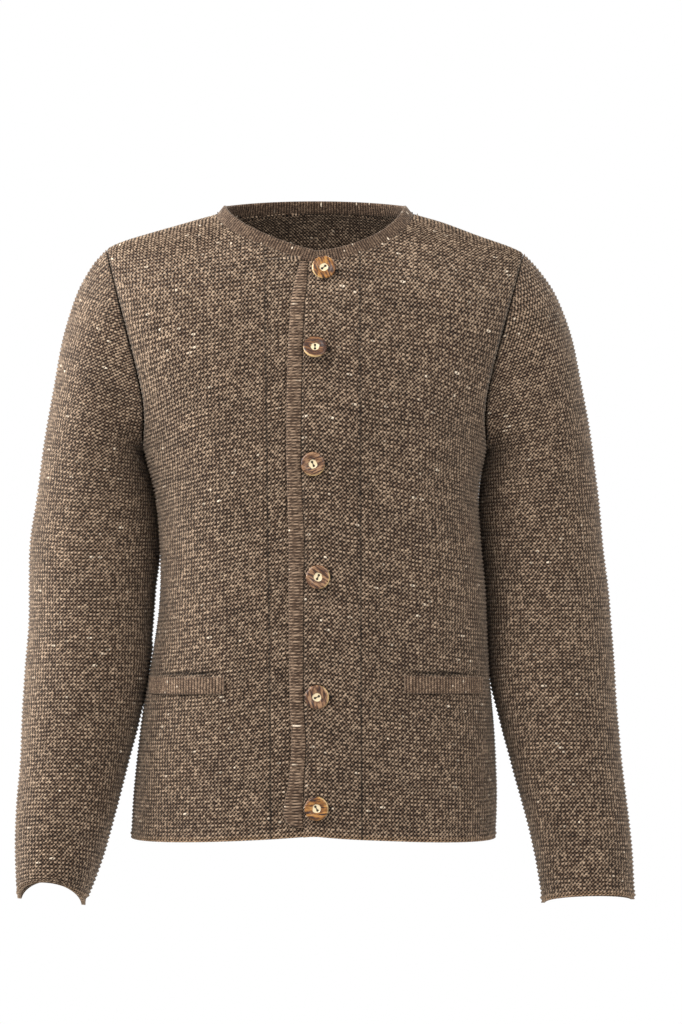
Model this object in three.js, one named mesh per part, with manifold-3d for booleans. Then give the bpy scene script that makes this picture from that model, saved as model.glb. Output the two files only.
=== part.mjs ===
// A knitted cardigan, worn and buttoned, as hollow cloth walls: back, two fronts, two set-in
// sleeves, ribbed neckband, ribbed edge band, two pocket welts and six buttons.
//
// Millimetres. +Z is up, +X is the wearer's left, and the front faces -Y. The origin is where the
// wearer's neck and shoulders hold the garment, on the centre line at the height of the neck points.
import * as THREE from "three";
import { mergeVertices } from "three/addons/utils/BufferGeometryUtils.js";
import Module from "manifold-3d";

const wasm = await Module();
wasm.setup();

// ---------------------------------------------------------------- driving sizes

const WALL = 3; // thickness of the knitted cloth
const SEAM_GAP = 0.3; // pieces stand this far apart where they are sewn together
const RIB_HEIGHT = 0.5; // how far a rib stands out of its strip

const FRONT = -1; // the side of the body that faces -Y
const BACK = 1;
const WEARER_LEFT = 1; // the side of the body that faces +X
const WEARER_RIGHT = -1;

const SQUARENESS = 2.4; // exponent of the body's rounded sections; 2 would be an ellipse
const SHOULDER_ROUND = 85; // height over which the body rounds in to the shoulder seam

// The body's form: half widths to each side, and how far the front and back stand from the side seam.
const BODY_SECTIONS = [
  { z: -660, halfLeft: 186, halfRight: 190, front: 118, back: 110, mid: -4 },
  { z: -600, halfLeft: 188, halfRight: 187, front: 116, back: 108, mid: -5 },
  { z: -550, halfLeft: 186, halfRight: 182, front: 114, back: 104, mid: -6 },
  { z: -500, halfLeft: 182, halfRight: 175, front: 112, back: 99, mid: -7 },
  { z: -450, halfLeft: 179, halfRight: 166, front: 110, back: 95, mid: -8 },
  { z: -400, halfLeft: 177, halfRight: 160, front: 110, back: 94, mid: -8 },
  { z: -350, halfLeft: 172, halfRight: 161, front: 112, back: 99, mid: -6 },
  { z: -300, halfLeft: 170, halfRight: 166, front: 116, back: 106, mid: -4 },
  { z: -250, halfLeft: 178, halfRight: 178, front: 120, back: 112, mid: -1 },
  { z: -200, halfLeft: 190, halfRight: 190, front: 121, back: 115, mid: 1 },
  { z: -150, halfLeft: 203, halfRight: 204, front: 115, back: 113, mid: 3 },
  { z: -100, halfLeft: 219, halfRight: 220, front: 101, back: 107, mid: 5 },
  { z: -60, halfLeft: 231, halfRight: 231, front: 79, back: 97, mid: 7 },
  { z: -33, halfLeft: 238, halfRight: 238, front: 65, back: 90, mid: 8 },
  { z: 30, halfLeft: 250, halfRight: 250, front: 50, back: 82, mid: 8 },
];

// Height of the shoulder seam, out from the neck point.
const SHOULDER_SECTIONS = [
  { out: 102, left: -4, right: -4 },
  { out: 136, left: -14.5, right: -14 },
  { out: 168, left: -26.5, right: -23 },
  { out: 206, left: -39.5, right: -35 },
  { out: 226, left: -50, right: -46 },
];

const NECK = {
  half: 102, // half width of the neckline at the seam
  pointZ: -4, // height of the neck points
  frontZ: -59, // height of the seam at the centre front
  backZ: 4, // height of the seam at the centre back
  rise: 30, // how far the body's form would go on up inside the neckline
  sidePower: { left: 1.75, right: 1.1 }, // the front neckline's roundness on each side
  dropPower: { left: 0.62, right: 0.6 },
  columnPower: 1.75, // how the panels' columns crowd towards the neck points
};

const ARMHOLE = {
  shoulderX: 217, // how far out the shoulder seam ends
  bottomZ: -250,
  scoopZ: -190, // the lower part is a quarter ellipse from here down
  frontScoop: 58, // how far the armhole reaches forward and back of the side seam
  backScoop: 56,
  rise: 1.08, // how straight the upper part runs up to the shoulder
  steps: 14, // pieces of each half, shared by panel and sleeve
};

const HEM = { centreZ: -638, sideZ: -650, backZ: -652, rollHeight: 8, roll: 0.9 };

const OVERLAP = {
  underX: 26, // the right front runs on under the left one to here
  lift: 4.6, // the left front stands this far forward of the form where they lap
  fullTo: 30, // and lies back on the form between these two
  goneBy: 80,
};

const GROOVE = { leftX: 47, rightX: -47, half: 3.5, depth: 1.2 }; // the facings' stitch lines

// The front band's two edges down the left front.
const BAND_SECTIONS = [
  { z: -630, lead: -16, seam: -10.5 },
  { z: -627.5, lead: -24, seam: -10.5 },
  { z: -622, lead: -29, seam: -10.5 },
  { z: -612, lead: -30.5, seam: -10.5 },
  { z: -583, lead: -25.5, seam: -9.5 },
  { z: -548, lead: -22.5, seam: -7.5 },
  { z: -502, lead: -24.5, seam: -10 },
  { z: -402, lead: -25.5, seam: -10 },
  { z: -342, lead: -25.5, seam: -9.5 },
  { z: -262, lead: -27.5, seam: -12.5 },
  { z: -174, lead: -27, seam: -11.5 },
  { z: -107, lead: -24, seam: -9.5 },
  { z: -89, lead: -21.5, seam: -7.5 },
  { z: -56, lead: -14, seam: -5.5 },
];
const BAND = { ribPitch: 3.45, topZ: -59.5, footZ: -629.5, rib: 0.5 };

// The neckband leans in by "lean" for each millimetre it rises, and by more at the sides.
const NECKBAND = {
  height: 13,
  thickness: 3.1,
  ribPitch: 3,
  lead: -14,
  lean: 0.5,
  sideLean: 0.3,
  footGap: 0.45,
  sideFootGap: 0.4,
};

const WELT = { height: 17.5, thickness: 2.4, ribPitch: 3.3, rib: 0.6, droop: 3, clearance: 0.3 };
const WELTS = [
  { name: "pocket_welt_left", side: WEARER_LEFT, inner: 90, outer: 168, top: -478.5 },
  { name: "pocket_welt_right", side: WEARER_RIGHT, inner: 90, outer: 166, top: -479.5 },
];

const BUTTON = {
  radius: 12,
  thickness: 4,
  holeRadius: 1.1,
  holeSpacing: 4.2,
  stalkRadius: 2.4,
  standOff: 1.7,
};
// Where each button sits on the left front, how its holes turn and how far it tips down from the
// cloth's own slope.
const BUTTONS = [
  { name: "button_1", x: 9.5, z: -70, turn: 40, tip: 18 },
  { name: "button_2", x: 1, z: -151, turn: 90, tip: -15 },
  { name: "button_3", x: -1, z: -266, turn: -65, tip: 0 },
  { name: "button_4", x: 4, z: -379, turn: 65, tip: 0 },
  { name: "button_5", x: 3, z: -499, turn: 25, tip: 0 },
  { name: "button_6", x: 2.5, z: -610, turn: -60, tip: 0 },
];

// Sections of each sleeve from the armhole to the cuff: the ends of the section nearest to and
// furthest from the body, the depth's middle and half. "in" and "out" are distances from the centre.
const SLEEVE_SECTIONS = {
  left: [
    { inX: 178.7, inZ: -249.7, outX: 217.3, outZ: -43, mid: 2, deep: 57 },
    { inX: 179.0, inZ: -249.9, outX: 234, outZ: -62, mid: 2, deep: 58 },
    { inX: 179.3, inZ: -250.3, outX: 252, outZ: -90, mid: 3, deep: 59.5 },
    { inX: 179.6, inZ: -250.9, outX: 267, outZ: -130, mid: 4, deep: 61 },
    { inX: 179.7, inZ: -251.8, outX: 276, outZ: -178, mid: 6, deep: 62 },
    { inX: 178.3, inZ: -256, outX: 286, outZ: -228, mid: 9, deep: 62.5 },
    { inX: 173.7, inZ: -280, outX: 292, outZ: -274, mid: 12, deep: 63 },
    { inX: 171.2, inZ: -315, outX: 297, outZ: -315, mid: 14, deep: 63 },
    { inX: 173.8, inZ: -355, outX: 301.5, outZ: -355, mid: 12, deep: 63 },
    { inX: 178.3, inZ: -400, outX: 306.5, outZ: -400, mid: 7, deep: 62.5 },
    { inX: 180.2, inZ: -445, outX: 309, outZ: -445, mid: 1, deep: 61 },
    { inX: 183.0, inZ: -490, outX: 311, outZ: -490, mid: -6, deep: 59 },
    { inX: 193, inZ: -535, outX: 314.5, outZ: -535, mid: -13, deep: 56 },
    { inX: 205, inZ: -580, outX: 318, outZ: -580, mid: -19, deep: 52 },
    { inX: 217, inZ: -625, outX: 323, outZ: -625, mid: -25, deep: 48 },
    { inX: 226.5, inZ: -667, outX: 327, outZ: -666, mid: -30, deep: 44 },
    { inX: 232, inZ: -699, outX: 328.5, outZ: -696, mid: -33, deep: 41 },
    { inX: 233.5, inZ: -708, outX: 329, outZ: -704.5, mid: -34, deep: 41 },
    { inX: 233.5, inZ: -712, outX: 329, outZ: -708.5, mid: -34, deep: 41 },
    { inX: 234, inZ: -716, outX: 328.5, outZ: -712.5, mid: -34, deep: 41 },
  ],
  right: [
    { inX: 178.7, inZ: -249.7, outX: 217.3, outZ: -39.5, mid: 2, deep: 57 },
    { inX: 179.0, inZ: -249.9, outX: 233, outZ: -58, mid: 2, deep: 58 },
    { inX: 179.3, inZ: -250.3, outX: 249, outZ: -88, mid: 3, deep: 59.5 },
    { inX: 179.6, inZ: -250.9, outX: 262, outZ: -130, mid: 4, deep: 61 },
    { inX: 179.7, inZ: -251.8, outX: 271, outZ: -178, mid: 6, deep: 62 },
    { inX: 177.8, inZ: -257, outX: 279, outZ: -226, mid: 9, deep: 62.5 },
    { inX: 171.7, inZ: -280, outX: 286, outZ: -268, mid: 12, deep: 63 },
    { inX: 165.3, inZ: -315, outX: 291.5, outZ: -305, mid: 13, deep: 63 },
    { inX: 162.4, inZ: -352, outX: 296.5, outZ: -343, mid: 10, deep: 63.5 },
    { inX: 165, inZ: -395, outX: 297.5, outZ: -386, mid: 4, deep: 63 },
    { inX: 168.3, inZ: -440, outX: 297.5, outZ: -431, mid: -3, deep: 61.5 },
    { inX: 173.4, inZ: -485, outX: 300, outZ: -476, mid: -10, deep: 59 },
    { inX: 181.5, inZ: -530, outX: 302, outZ: -521, mid: -17, deep: 56 },
    { inX: 193, inZ: -575, outX: 303.5, outZ: -566, mid: -23, deep: 53 },
    { inX: 204.5, inZ: -622, outX: 307, outZ: -612, mid: -29, deep: 50 },
    { inX: 217, inZ: -668, outX: 308, outZ: -656, mid: -33, deep: 47 },
    { inX: 229.5, inZ: -702, outX: 306.5, outZ: -692, mid: -36, deep: 45 },
    { inX: 234, inZ: -710, outX: 305.5, outZ: -703.5, mid: -36, deep: 45 },
    { inX: 235.5, inZ: -714, outX: 305, outZ: -707.5, mid: -36, deep: 45 },
    { inX: 236.5, inZ: -718, outX: 304.5, outZ: -711.5, mid: -36, deep: 45 },
  ],
};
const SLEEVE = {
  fanRings: 5, // the first sections turn about the underarm and keep part of the armhole's shape
  rollFrom: 3, // the last sections are the cuff's rolled edge
  cuffArch: { left: { front: 11, back: 0 }, right: { front: 25, back: 16 } }, // how far each is pushed up
  archHeight: 110, // how far above the cuff this is still felt
};

const COLOURS = {
  knit: 0x715b4b,
  rib: 0x80695a,
  horn: 0x7b4a1e,
};

// ---------------------------------------------------------------- small helpers

const clamp = (value, low, high) => Math.min(Math.max(value, low), high);
const lerp = (a, b, t) => a + (b - a) * t;
const radians = THREE.MathUtils.degToRad;

// A smooth curve through one column of a table, read by another column that rises.
function smoothColumn(rows, key, column) {
  const xs = rows.map((row) => row[key]);
  const ys = rows.map((row) => row[column]);
  const last = xs.length - 1;
  const slopes = xs.map((_, i) => {
    const [a, b] = [Math.max(i - 1, 0), Math.min(i + 1, last)];
    return (ys[b] - ys[a]) / (xs[b] - xs[a]);
  });
  return (x) => {
    let i = 0;
    while (i < last - 1 && x > xs[i + 1]) i += 1;
    const span = xs[i + 1] - xs[i];
    const t = clamp((x - xs[i]) / span, 0, 1);
    const [t2, t3] = [t * t, t * t * t];
    return (
      (2 * t3 - 3 * t2 + 1) * ys[i] +
      (t3 - 2 * t2 + t) * span * slopes[i] +
      (3 * t2 - 2 * t3) * ys[i + 1] +
      (t3 - t2) * span * slopes[i + 1]
    );
  };
}

// Points at even distances along a polyline, its two ends included.
function resample(points, pieces) {
  const reached = [0];
  for (let i = 1; i < points.length; i += 1)
    reached.push(reached[i - 1] + points[i].distanceTo(points[i - 1]));
  const total = reached[reached.length - 1];
  const out = [];
  let i = 0;
  for (let k = 0; k <= pieces; k += 1) {
    const want = (total * k) / pieces;
    while (i < points.length - 2 && reached[i + 1] < want) i += 1;
    const t = clamp((want - reached[i]) / (reached[i + 1] - reached[i]), 0, 1);
    out.push(points[i].clone().lerp(points[i + 1], t));
  }
  return out;
}

function lengthOf(points) {
  return points.slice(1).reduce((sum, p, i) => sum + p.distanceTo(points[i]), 0);
}

// A closed mesh from points and triangles, turned to face outwards.
function closedGeometry(points, triangles) {
  let volume = 0;
  for (const [a, b, c] of triangles)
    volume += points[a].dot(points[b].clone().cross(points[c]));
  const turned = volume < 0 ? triangles.map(([a, b, c]) => [a, c, b]) : triangles;
  const geometry = new THREE.BufferGeometry();
  geometry.setAttribute(
    "position",
    new THREE.Float32BufferAttribute(points.flatMap((p) => p.toArray()), 3),
  );
  geometry.setIndex(turned.flat());
  geometry.computeVertexNormals();
  return geometry;
}

// The wall between an outer and an inner grid of points, closed at its edges. A ring grid joins its
// last column to its first.
function wallGeometry(outer, inner, ring = false) {
  const rows = outer.length;
  const columns = outer[0].length;
  const points = [...outer.flat(), ...inner.flat()];
  const out = (j, i) => j * columns + (i % columns);
  const back = (j, i) => rows * columns + out(j, i);
  const triangles = [];
  const quad = (a, b, c, d) => triangles.push([a, b, c], [a, c, d]);
  const spans = ring ? columns : columns - 1;
  for (let j = 0; j < rows - 1; j += 1) {
    for (let i = 0; i < spans; i += 1) {
      quad(out(j, i), out(j, i + 1), out(j + 1, i + 1), out(j + 1, i));
      quad(back(j, i), back(j + 1, i), back(j + 1, i + 1), back(j, i + 1));
    }
    if (!ring) {
      quad(out(j, 0), out(j + 1, 0), back(j + 1, 0), back(j, 0));
      const end = columns - 1;
      quad(out(j, end), back(j, end), back(j + 1, end), out(j + 1, end));
    }
  }
  for (let i = 0; i < spans; i += 1) {
    const top = rows - 1;
    quad(out(0, i), back(0, i), back(0, i + 1), out(0, i + 1));
    quad(out(top, i), out(top, i + 1), back(top, i + 1), back(top, i));
  }
  return closedGeometry(points, triangles);
}

// A strip with ribs across it. valleys holds a section between ribs, and ridges one on each rib;
// a section is { outerA, outerB, innerA, innerB }, and a ridge uses only its outer points.
function ribbedGeometry(valleys, ridges) {
  const points = [];
  const add = (p) => points.push(p) - 1;
  const low = valleys.map((s) => [s.outerA, s.outerB, s.innerB, s.innerA].map(add));
  const high = ridges.map((s) => [s.outerA, s.outerB].map(add));
  const triangles = [];
  const quad = (a, b, c, d) => triangles.push([a, b, c], [a, c, d]);
  high.forEach(([ridgeA, ridgeB], i) => {
    const [a0, b0, innerB0, innerA0] = low[i];
    const [a1, b1, innerB1, innerA1] = low[i + 1];
    quad(a0, b0, ridgeB, ridgeA);
    quad(ridgeA, ridgeB, b1, a1);
    quad(innerA0, innerA1, innerB1, innerB0);
    quad(innerA0, a0, ridgeA, innerA1);
    triangles.push([innerA1, ridgeA, a1]);
    quad(b0, innerB0, innerB1, ridgeB);
    triangles.push([ridgeB, innerB1, b1]);
  });
  const [a, b, c, d] = low[0];
  quad(a, d, c, b);
  const [e, f, g, h] = low[low.length - 1];
  quad(e, f, g, h);
  return closedGeometry(points, triangles);
}

// ---------------------------------------------------------------- the body's form

const body = Object.fromEntries(
  ["halfLeft", "halfRight", "front", "back", "mid"].map((column) => [
    column,
    smoothColumn(BODY_SECTIONS, "z", column),
  ]),
);
const shoulder = {
  left: smoothColumn(SHOULDER_SECTIONS, "out", "left"),
  right: smoothColumn(SHOULDER_SECTIONS, "out", "right"),
};

const halfWidth = (x, z) => (x > 0 ? body.halfLeft(z) : body.halfRight(z));

// Height at which the body's form ends above a place across it.
function crestZ(x) {
  const out = Math.abs(x);
  if (out >= NECK.half) return x > 0 ? shoulder.left(out) : shoulder.right(out);
  return NECK.pointZ + NECK.rise * (1 - (out / NECK.half) ** 2);
}

// How full the section is below the crest: 0 on the shoulder seam, 1 lower down.
function archAt(below) {
  return Math.sqrt(1 - (1 - clamp(below / SHOULDER_ROUND, 0, 1)) ** 2);
}

const bulgeAt = (reach) => (1 - clamp(reach, 0, 1) ** SQUARENESS) ** (1 / SQUARENESS);

// How far the left front stands forward of the form, because it laps over the right one.
function lapLift(x) {
  const t = clamp((x - OVERLAP.fullTo) / (OVERLAP.goneBy - OVERLAP.fullTo), 0, 1);
  return OVERLAP.lift * (1 - t * t * (3 - 2 * t));
}

// The point of the cloth's outer face at a place across and up the body.
function bodyPoint(x, z, face, lapped = false) {
  const depth = face === FRONT ? body.front(z) : body.back(z);
  const full = depth * bulgeAt(Math.abs(x) / halfWidth(x, z)) * archAt(crestZ(x) - z);
  const lift = lapped ? lapLift(x) : 0;
  const y = body.mid(z) + face * (Math.max(full, SEAM_GAP / 2) + lift);
  return new THREE.Vector3(x, y, z);
}

// Height of the neckline's seam at a place across, on the front or back.
function necklineZ(x, face) {
  const q = clamp(Math.abs(x) / NECK.half, 0, 1);
  if (face === BACK) return lerp(NECK.backZ, NECK.pointZ, q * q);
  const side = x > 0 ? "left" : "right";
  const drop = (1 - q ** NECK.sidePower[side]) ** NECK.dropPower[side];
  return lerp(NECK.pointZ, NECK.frontZ, drop);
}

function hemZ(x, face) {
  const q = clamp(Math.abs(x) / halfWidth(x, HEM.sideZ), 0, 1);
  return lerp(face === FRONT ? HEM.centreZ : HEM.backZ, HEM.sideZ, q ** 0.8);
}

// One half of an armhole, from the underarm up to the shoulder point.
function armholeCurve(side, face) {
  const scoop = face === FRONT ? ARMHOLE.frontScoop : ARMHOLE.backScoop;
  const depthAt = face === FRONT ? body.front : body.back;
  const dense = 60;
  const points = [];
  for (let k = 0; k <= dense; k += 1) {
    const turn = (k / dense) * (Math.PI / 2);
    const z = lerp(ARMHOLE.scoopZ, ARMHOLE.bottomZ, Math.cos(turn));
    const reach = bulgeAt((scoop * Math.sin(turn)) / depthAt(z));
    points.push(bodyPoint(side * halfWidth(side, z) * reach, z, face));
  }
  const scoopX = Math.abs(points[dense].x);
  const topZ = crestZ(side * ARMHOLE.shoulderX);
  for (let k = 1; k <= dense; k += 1) {
    const up = Math.sin((k / dense) * (Math.PI / 2));
    const x = side * lerp(scoopX, ARMHOLE.shoulderX, up ** ARMHOLE.rise);
    points.push(bodyPoint(x, lerp(ARMHOLE.scoopZ, topZ, up), face));
  }
  return resample(points, ARMHOLE.steps);
}

// ---------------------------------------------------------------- panels

const BODY_ROWS = 11; // rows between the hem's roll and the underarm
const NECK_COLUMNS = 5; // columns from the facing line to the neck point
const SHOULDER_COLUMNS = 6;

// Rows of a panel's outer side, from the hem up the side seam and the armhole.
function sideRows(side, face) {
  const hem = HEM.sideZ;
  const heights = [hem, hem + HEM.rollHeight / 2, hem + HEM.rollHeight];
  for (let k = 1; k < BODY_ROWS; k += 1)
    heights.push(lerp(hem + HEM.rollHeight, ARMHOLE.bottomZ, k / BODY_ROWS));
  const seam = heights.map((z) => bodyPoint(side * halfWidth(side, z), z, face));
  return [...seam, ...armholeCurve(side, face)];
}

// Half a panel's places, row by row from the hem: each row is a blend of the four edges, so that the
// rows follow the neckline at the top and the hem below. edgeX gives the inner edge's place by height.
function halfPanel({ side, face, innerColumns, edgeX, lapped = false }) {
  const rim = sideRows(side, face);
  const foot = rim[0];
  const head = rim[rim.length - 1];
  const underarm = rim.length - 1 - ARMHOLE.steps;
  const rise = rim.map((p) => (p.z - foot.z) / (head.z - foot.z));

  const columns = innerColumns.map((x) => ({ low: x, high: x }));
  const start = Math.abs(innerColumns[innerColumns.length - 1]);
  const sideX = Math.abs(foot.x);
  const hemTurn = Math.asin((start / sideX) ** (SQUARENESS / 2));
  const neckTurn = Math.asin((start / NECK.half) ** (NECK.columnPower / 2));
  for (let k = 1; k <= NECK_COLUMNS + SHOULDER_COLUMNS; k += 1) {
    const hemPart = k / (NECK_COLUMNS + SHOULDER_COLUMNS);
    const neckPart = Math.min(k / NECK_COLUMNS, 1);
    const shoulderPart = Math.max(k - NECK_COLUMNS, 0) / SHOULDER_COLUMNS;
    const lowX = sideX * Math.sin(lerp(hemTurn, Math.PI / 2, hemPart)) ** (2 / SQUARENESS);
    const neckX = NECK.half * Math.sin(lerp(neckTurn, Math.PI / 2, neckPart)) ** (2 / NECK.columnPower);
    columns.push({ low: side * lowX, high: side * lerp(neckX, ARMHOLE.shoulderX, shoulderPart) });
  }

  const last = columns.length - 1;
  const edgeFoot = hemZ(edgeX(HEM.centreZ), face);
  const edgeHead = necklineZ(edgeX(NECK.frontZ), face);
  const topZ = (x) => (Math.abs(x) < NECK.half - 1e-6 ? necklineZ(x, face) : crestZ(x));
  return rim.map((rimPoint, j) => {
    const t = rise[j];
    const armholePart = Math.max(j - underarm, 0) / ARMHOLE.steps;
    const edgePart = j <= underarm ? t : lerp(rise[underarm], 1, armholePart);
    const edgeShiftZ = (edgePart - t) * (edgeHead - edgeFoot);
    const rimShiftX = rimPoint.x - lerp(foot.x, head.x, t);
    return columns.map(({ low, high }, i) => {
      if (i === last) return rimPoint.clone();
      const s = i / last;
      const z = lerp(hemZ(low, face), topZ(high), t) + (1 - s) ** 3 * edgeShiftZ;
      const edgeShiftX = (edgeX(z) - innerColumns[0]) * Math.max(1 - i / 2, 0);
      const x = lerp(low, high, t) + s ** 3 * rimShiftX + edgeShiftX;
      return bodyPoint(x, z, face, lapped);
    });
  });
}

// The outward direction at each point of a grid whose columns run so that across x up points out.
// On a side or shoulder seam it lies in the seam's own plane, so that front and back meet squarely.
function outwardGrid(grid) {
  const [lastRow, lastColumn] = [grid.length - 1, grid[0].length - 1];
  return grid.map((row, j) =>
    row.map((p, i) => {
      const across = row[Math.min(i + 1, lastColumn)].clone().sub(row[Math.max(i - 1, 0)]);
      const up = grid[Math.min(j + 1, lastRow)][i].clone().sub(grid[Math.max(j - 1, 0)][i]);
      const out = across.cross(up);
      if (Math.abs(p.y - body.mid(p.z)) < SEAM_GAP) out.y = 0;
      return out.normalize();
    }),
  );
}

// A panel's outer and inner points. relief(i, j) is how far a point stands out of the plain wall.
function panelWall(grid, relief) {
  const outward = outwardGrid(grid);
  const moved = (amount) =>
    grid.map((row, j) => row.map((p, i) => p.clone().addScaledVector(outward[j][i], amount(i, j))));
  return { plain: grid, outer: moved(relief), inner: moved(() => -WALL) };
}

// The hem's rolled edge stands out, above a slight dent where it is caught down.
function hemRelief(j) {
  return [0, HEM.roll, -0.3][j] ?? 0;
}

const reversed = (grid) => grid.map((row) => [...row].reverse());

function backPanel() {
  const half = (side) =>
    halfPanel({ side, face: BACK, innerColumns: [0, side * 24], edgeX: () => 0 });
  const leftHalf = reversed(half(WEARER_LEFT));
  const rightHalf = half(WEARER_RIGHT);
  const grid = leftHalf.map((row, j) => [...row, ...rightHalf[j].slice(1)]);
  return panelWall(grid, (i, j) => hemRelief(j));
}

const bandSeam = smoothColumn(BAND_SECTIONS, "z", "seam");
const bandLead = smoothColumn(BAND_SECTIONS, "z", "lead");

function frontPanel(side) {
  const grooveX = side === WEARER_LEFT ? GROOVE.leftX : GROOVE.rightX;
  const groove = [grooveX - side * GROOVE.half, grooveX, grooveX + side * GROOVE.half];
  const isLeft = side === WEARER_LEFT;
  const edgeX = isLeft ? bandSeam : () => OVERLAP.underX;
  const innerColumns = isLeft
    ? [bandSeam(HEM.centreZ), 6, 25, ...groove]
    : [OVERLAP.underX, 3, -21, ...groove];
  const grid = halfPanel({ side, face: FRONT, innerColumns, edgeX, lapped: isLeft });
  const oriented = isLeft ? grid : reversed(grid);
  const grooveColumn = isLeft ? 4 : grid[0].length - 5;
  return panelWall(oriented, (i, j) => hemRelief(j) - (i === grooveColumn ? GROOVE.depth : 0));
}

const panels = {
  back: backPanel(),
  front_left: frontPanel(WEARER_LEFT),
  front_right: frontPanel(WEARER_RIGHT),
};

// The point and outward direction of a front panel's own facets at a place across and up.
function onPanel(panel, x, z) {
  const { outer } = panel;
  for (let j = 0; j < outer.length - 1; j += 1) {
    for (let i = 0; i < outer[0].length - 1; i += 1) {
      const [a, b, c, d] = [outer[j][i], outer[j][i + 1], outer[j + 1][i + 1], outer[j + 1][i]];
      for (const [p, q, r] of [[a, b, c], [a, c, d]]) {
        const area = (q.x - p.x) * (r.z - p.z) - (r.x - p.x) * (q.z - p.z);
        const u = ((x - p.x) * (r.z - p.z) - (r.x - p.x) * (z - p.z)) / area;
        const v = ((q.x - p.x) * (z - p.z) - (x - p.x) * (q.z - p.z)) / area;
        if (u < -1e-6 || v < -1e-6 || u + v > 1 + 1e-6) continue;
        const [e, f] = [q.clone().sub(p), r.clone().sub(p)];
        const out = e.clone().cross(f).normalize();
        return { point: p.clone().addScaledVector(e, u).addScaledVector(f, v), out };
      }
    }
  }
  throw new Error(`no cloth at ${x}, ${z}`);
}

// ---------------------------------------------------------------- sleeves

// One point of a sleeve's section: part of the way round from the underarm, forwards first.
function sectionPoint(section, side, turn, shrink) {
  const along = new THREE.Vector3(
    side * (section.outX - section.inX), 0, section.outZ - section.inZ,
  );
  const half = along.length() / 2;
  along.normalize();
  const centre = new THREE.Vector3(
    (side * (section.inX + section.outX)) / 2, section.mid, (section.inZ + section.outZ) / 2,
  );
  centre.addScaledVector(along, -(half - shrink) * Math.cos(turn));
  centre.y -= (section.deep - shrink) * Math.sin(turn);
  return centre;
}

function armholeRing(side) {
  const front = armholeCurve(side, FRONT);
  const back = armholeCurve(side, BACK);
  return [...front, ...back.slice(1, -1).reverse()];
}

function sleeveWall(side, name) {
  const sections = SLEEVE_SECTIONS[name];
  const armhole = armholeRing(side);
  const count = armhole.length;
  const last = sections.length - 1;
  const turns = armhole.map((_, k) => (2 * Math.PI * k) / count);

  // How far the armhole leaves the first section's even shape, with the seam's gap.
  const seamGap = turns.map(
    (turn) => new THREE.Vector3(side * 0.35, 0, SEAM_GAP * (0.5 + 0.5 * Math.cos(turn))),
  );
  const departure = armhole.map((p, k) =>
    p.clone().add(seamGap[k]).sub(sectionPoint(sections[0], side, turns[k], 0)),
  );

  const rings = (shrink) =>
    sections.map((section, r) => {
      const keep = r < SLEEVE.fanRings ? ((SLEEVE.fanRings - r) / SLEEVE.fanRings) ** 1.6 : 0;
      const aboveCuff = section.outZ - sections[last].outZ;
      const arch = clamp(1 - aboveCuff / SLEEVE.archHeight, 0, 1) ** 2;
      return turns.map((turn, k) => {
        const p = sectionPoint(section, side, turn, shrink);
        p.addScaledVector(departure[k], keep);
        const { front, back } = SLEEVE.cuffArch[name];
        p.z += arch * Math.abs(Math.sin(turn)) * (Math.sin(turn) > 0 ? front : back);
        return p;
      });
    });

  const plain = rings(0);
  const inner = rings(WALL);
  const rollOut = { [last - SLEEVE.rollFrom]: -0.3, [last - 1]: HEM.roll, [last - 2]: HEM.roll / 2 };
  const outer = plain.map((ring, r) =>
    ring.map((p, k) => {
      const out = p.clone().sub(inner[r][k]).normalize();
      return p.clone().addScaledVector(out, rollOut[r] ?? 0);
    }),
  );
  return { plain, outer, inner };
}

// ---------------------------------------------------------------- ribbed strips

// A section of a strip between two points of its outer face, the rib standing out of it.
function stripSection(a, b, out, thickness, rib = 0) {
  return {
    outerA: a.clone().addScaledVector(out, rib),
    outerB: b.clone().addScaledVector(out, rib),
    innerA: a.clone().addScaledVector(out, -thickness),
    innerB: b.clone().addScaledVector(out, -thickness),
  };
}

// The neckline's seam, once round from the left front's edge to the right front's edge under it,
// along the panels' own top points.
function necklinePath() {
  const neckPoints = ({ plain }) =>
    plain[plain.length - 1].filter((p) => Math.abs(p.x) <= NECK.half + SEAM_GAP);
  const lead = bodyPoint(NECKBAND.lead, necklineZ(NECKBAND.lead, FRONT), FRONT, true);
  return [lead, ...[panels.front_left, panels.back, panels.front_right].flatMap(neckPoints)];
}

function neckbandGeometry() {
  const path = necklinePath();
  const ribs = Math.round(lengthOf(path) / NECKBAND.ribPitch);
  const seam = resample(path, 2 * ribs);
  const sections = seam.map((p, i) => {
    const along = seam[Math.min(i + 1, seam.length - 1)].clone().sub(seam[Math.max(i - 1, 0)]);
    const inward = new THREE.Vector3(-p.x, -p.y, 0).normalize();
    const atSide = (p.x / NECK.half) ** 4;
    const lean = NECKBAND.lean + NECKBAND.sideLean * atSide;
    const up = inward.clone().multiplyScalar(lean).add(new THREE.Vector3(0, 0, 1));
    up.addScaledVector(along, -up.dot(along) / along.lengthSq()).normalize();
    const out = along.cross(up).normalize();
    if (out.dot(inward) > 0) out.negate();
    const foot = p.clone().addScaledVector(up, NECKBAND.footGap + NECKBAND.sideFootGap * atSide);
    const top = p.clone().addScaledVector(up, NECKBAND.height);
    return stripSection(foot, top, out, NECKBAND.thickness, i % 2 ? RIB_HEIGHT : 0);
  });
  return ribbedGeometry(
    sections.filter((_, i) => i % 2 === 0),
    sections.filter((_, i) => i % 2 === 1),
  );
}

// The left front's inner edge, point to point, for the band sewn along it.
function frontEdgeX(z) {
  const edge = panels.front_left.plain.map((row) => row[0]);
  const above = Math.max(edge.findIndex((p) => p.z > z), 1);
  const [low, high] = [edge[above - 1], edge[above]];
  return lerp(low.x, high.x, (z - low.z) / (high.z - low.z));
}

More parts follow.
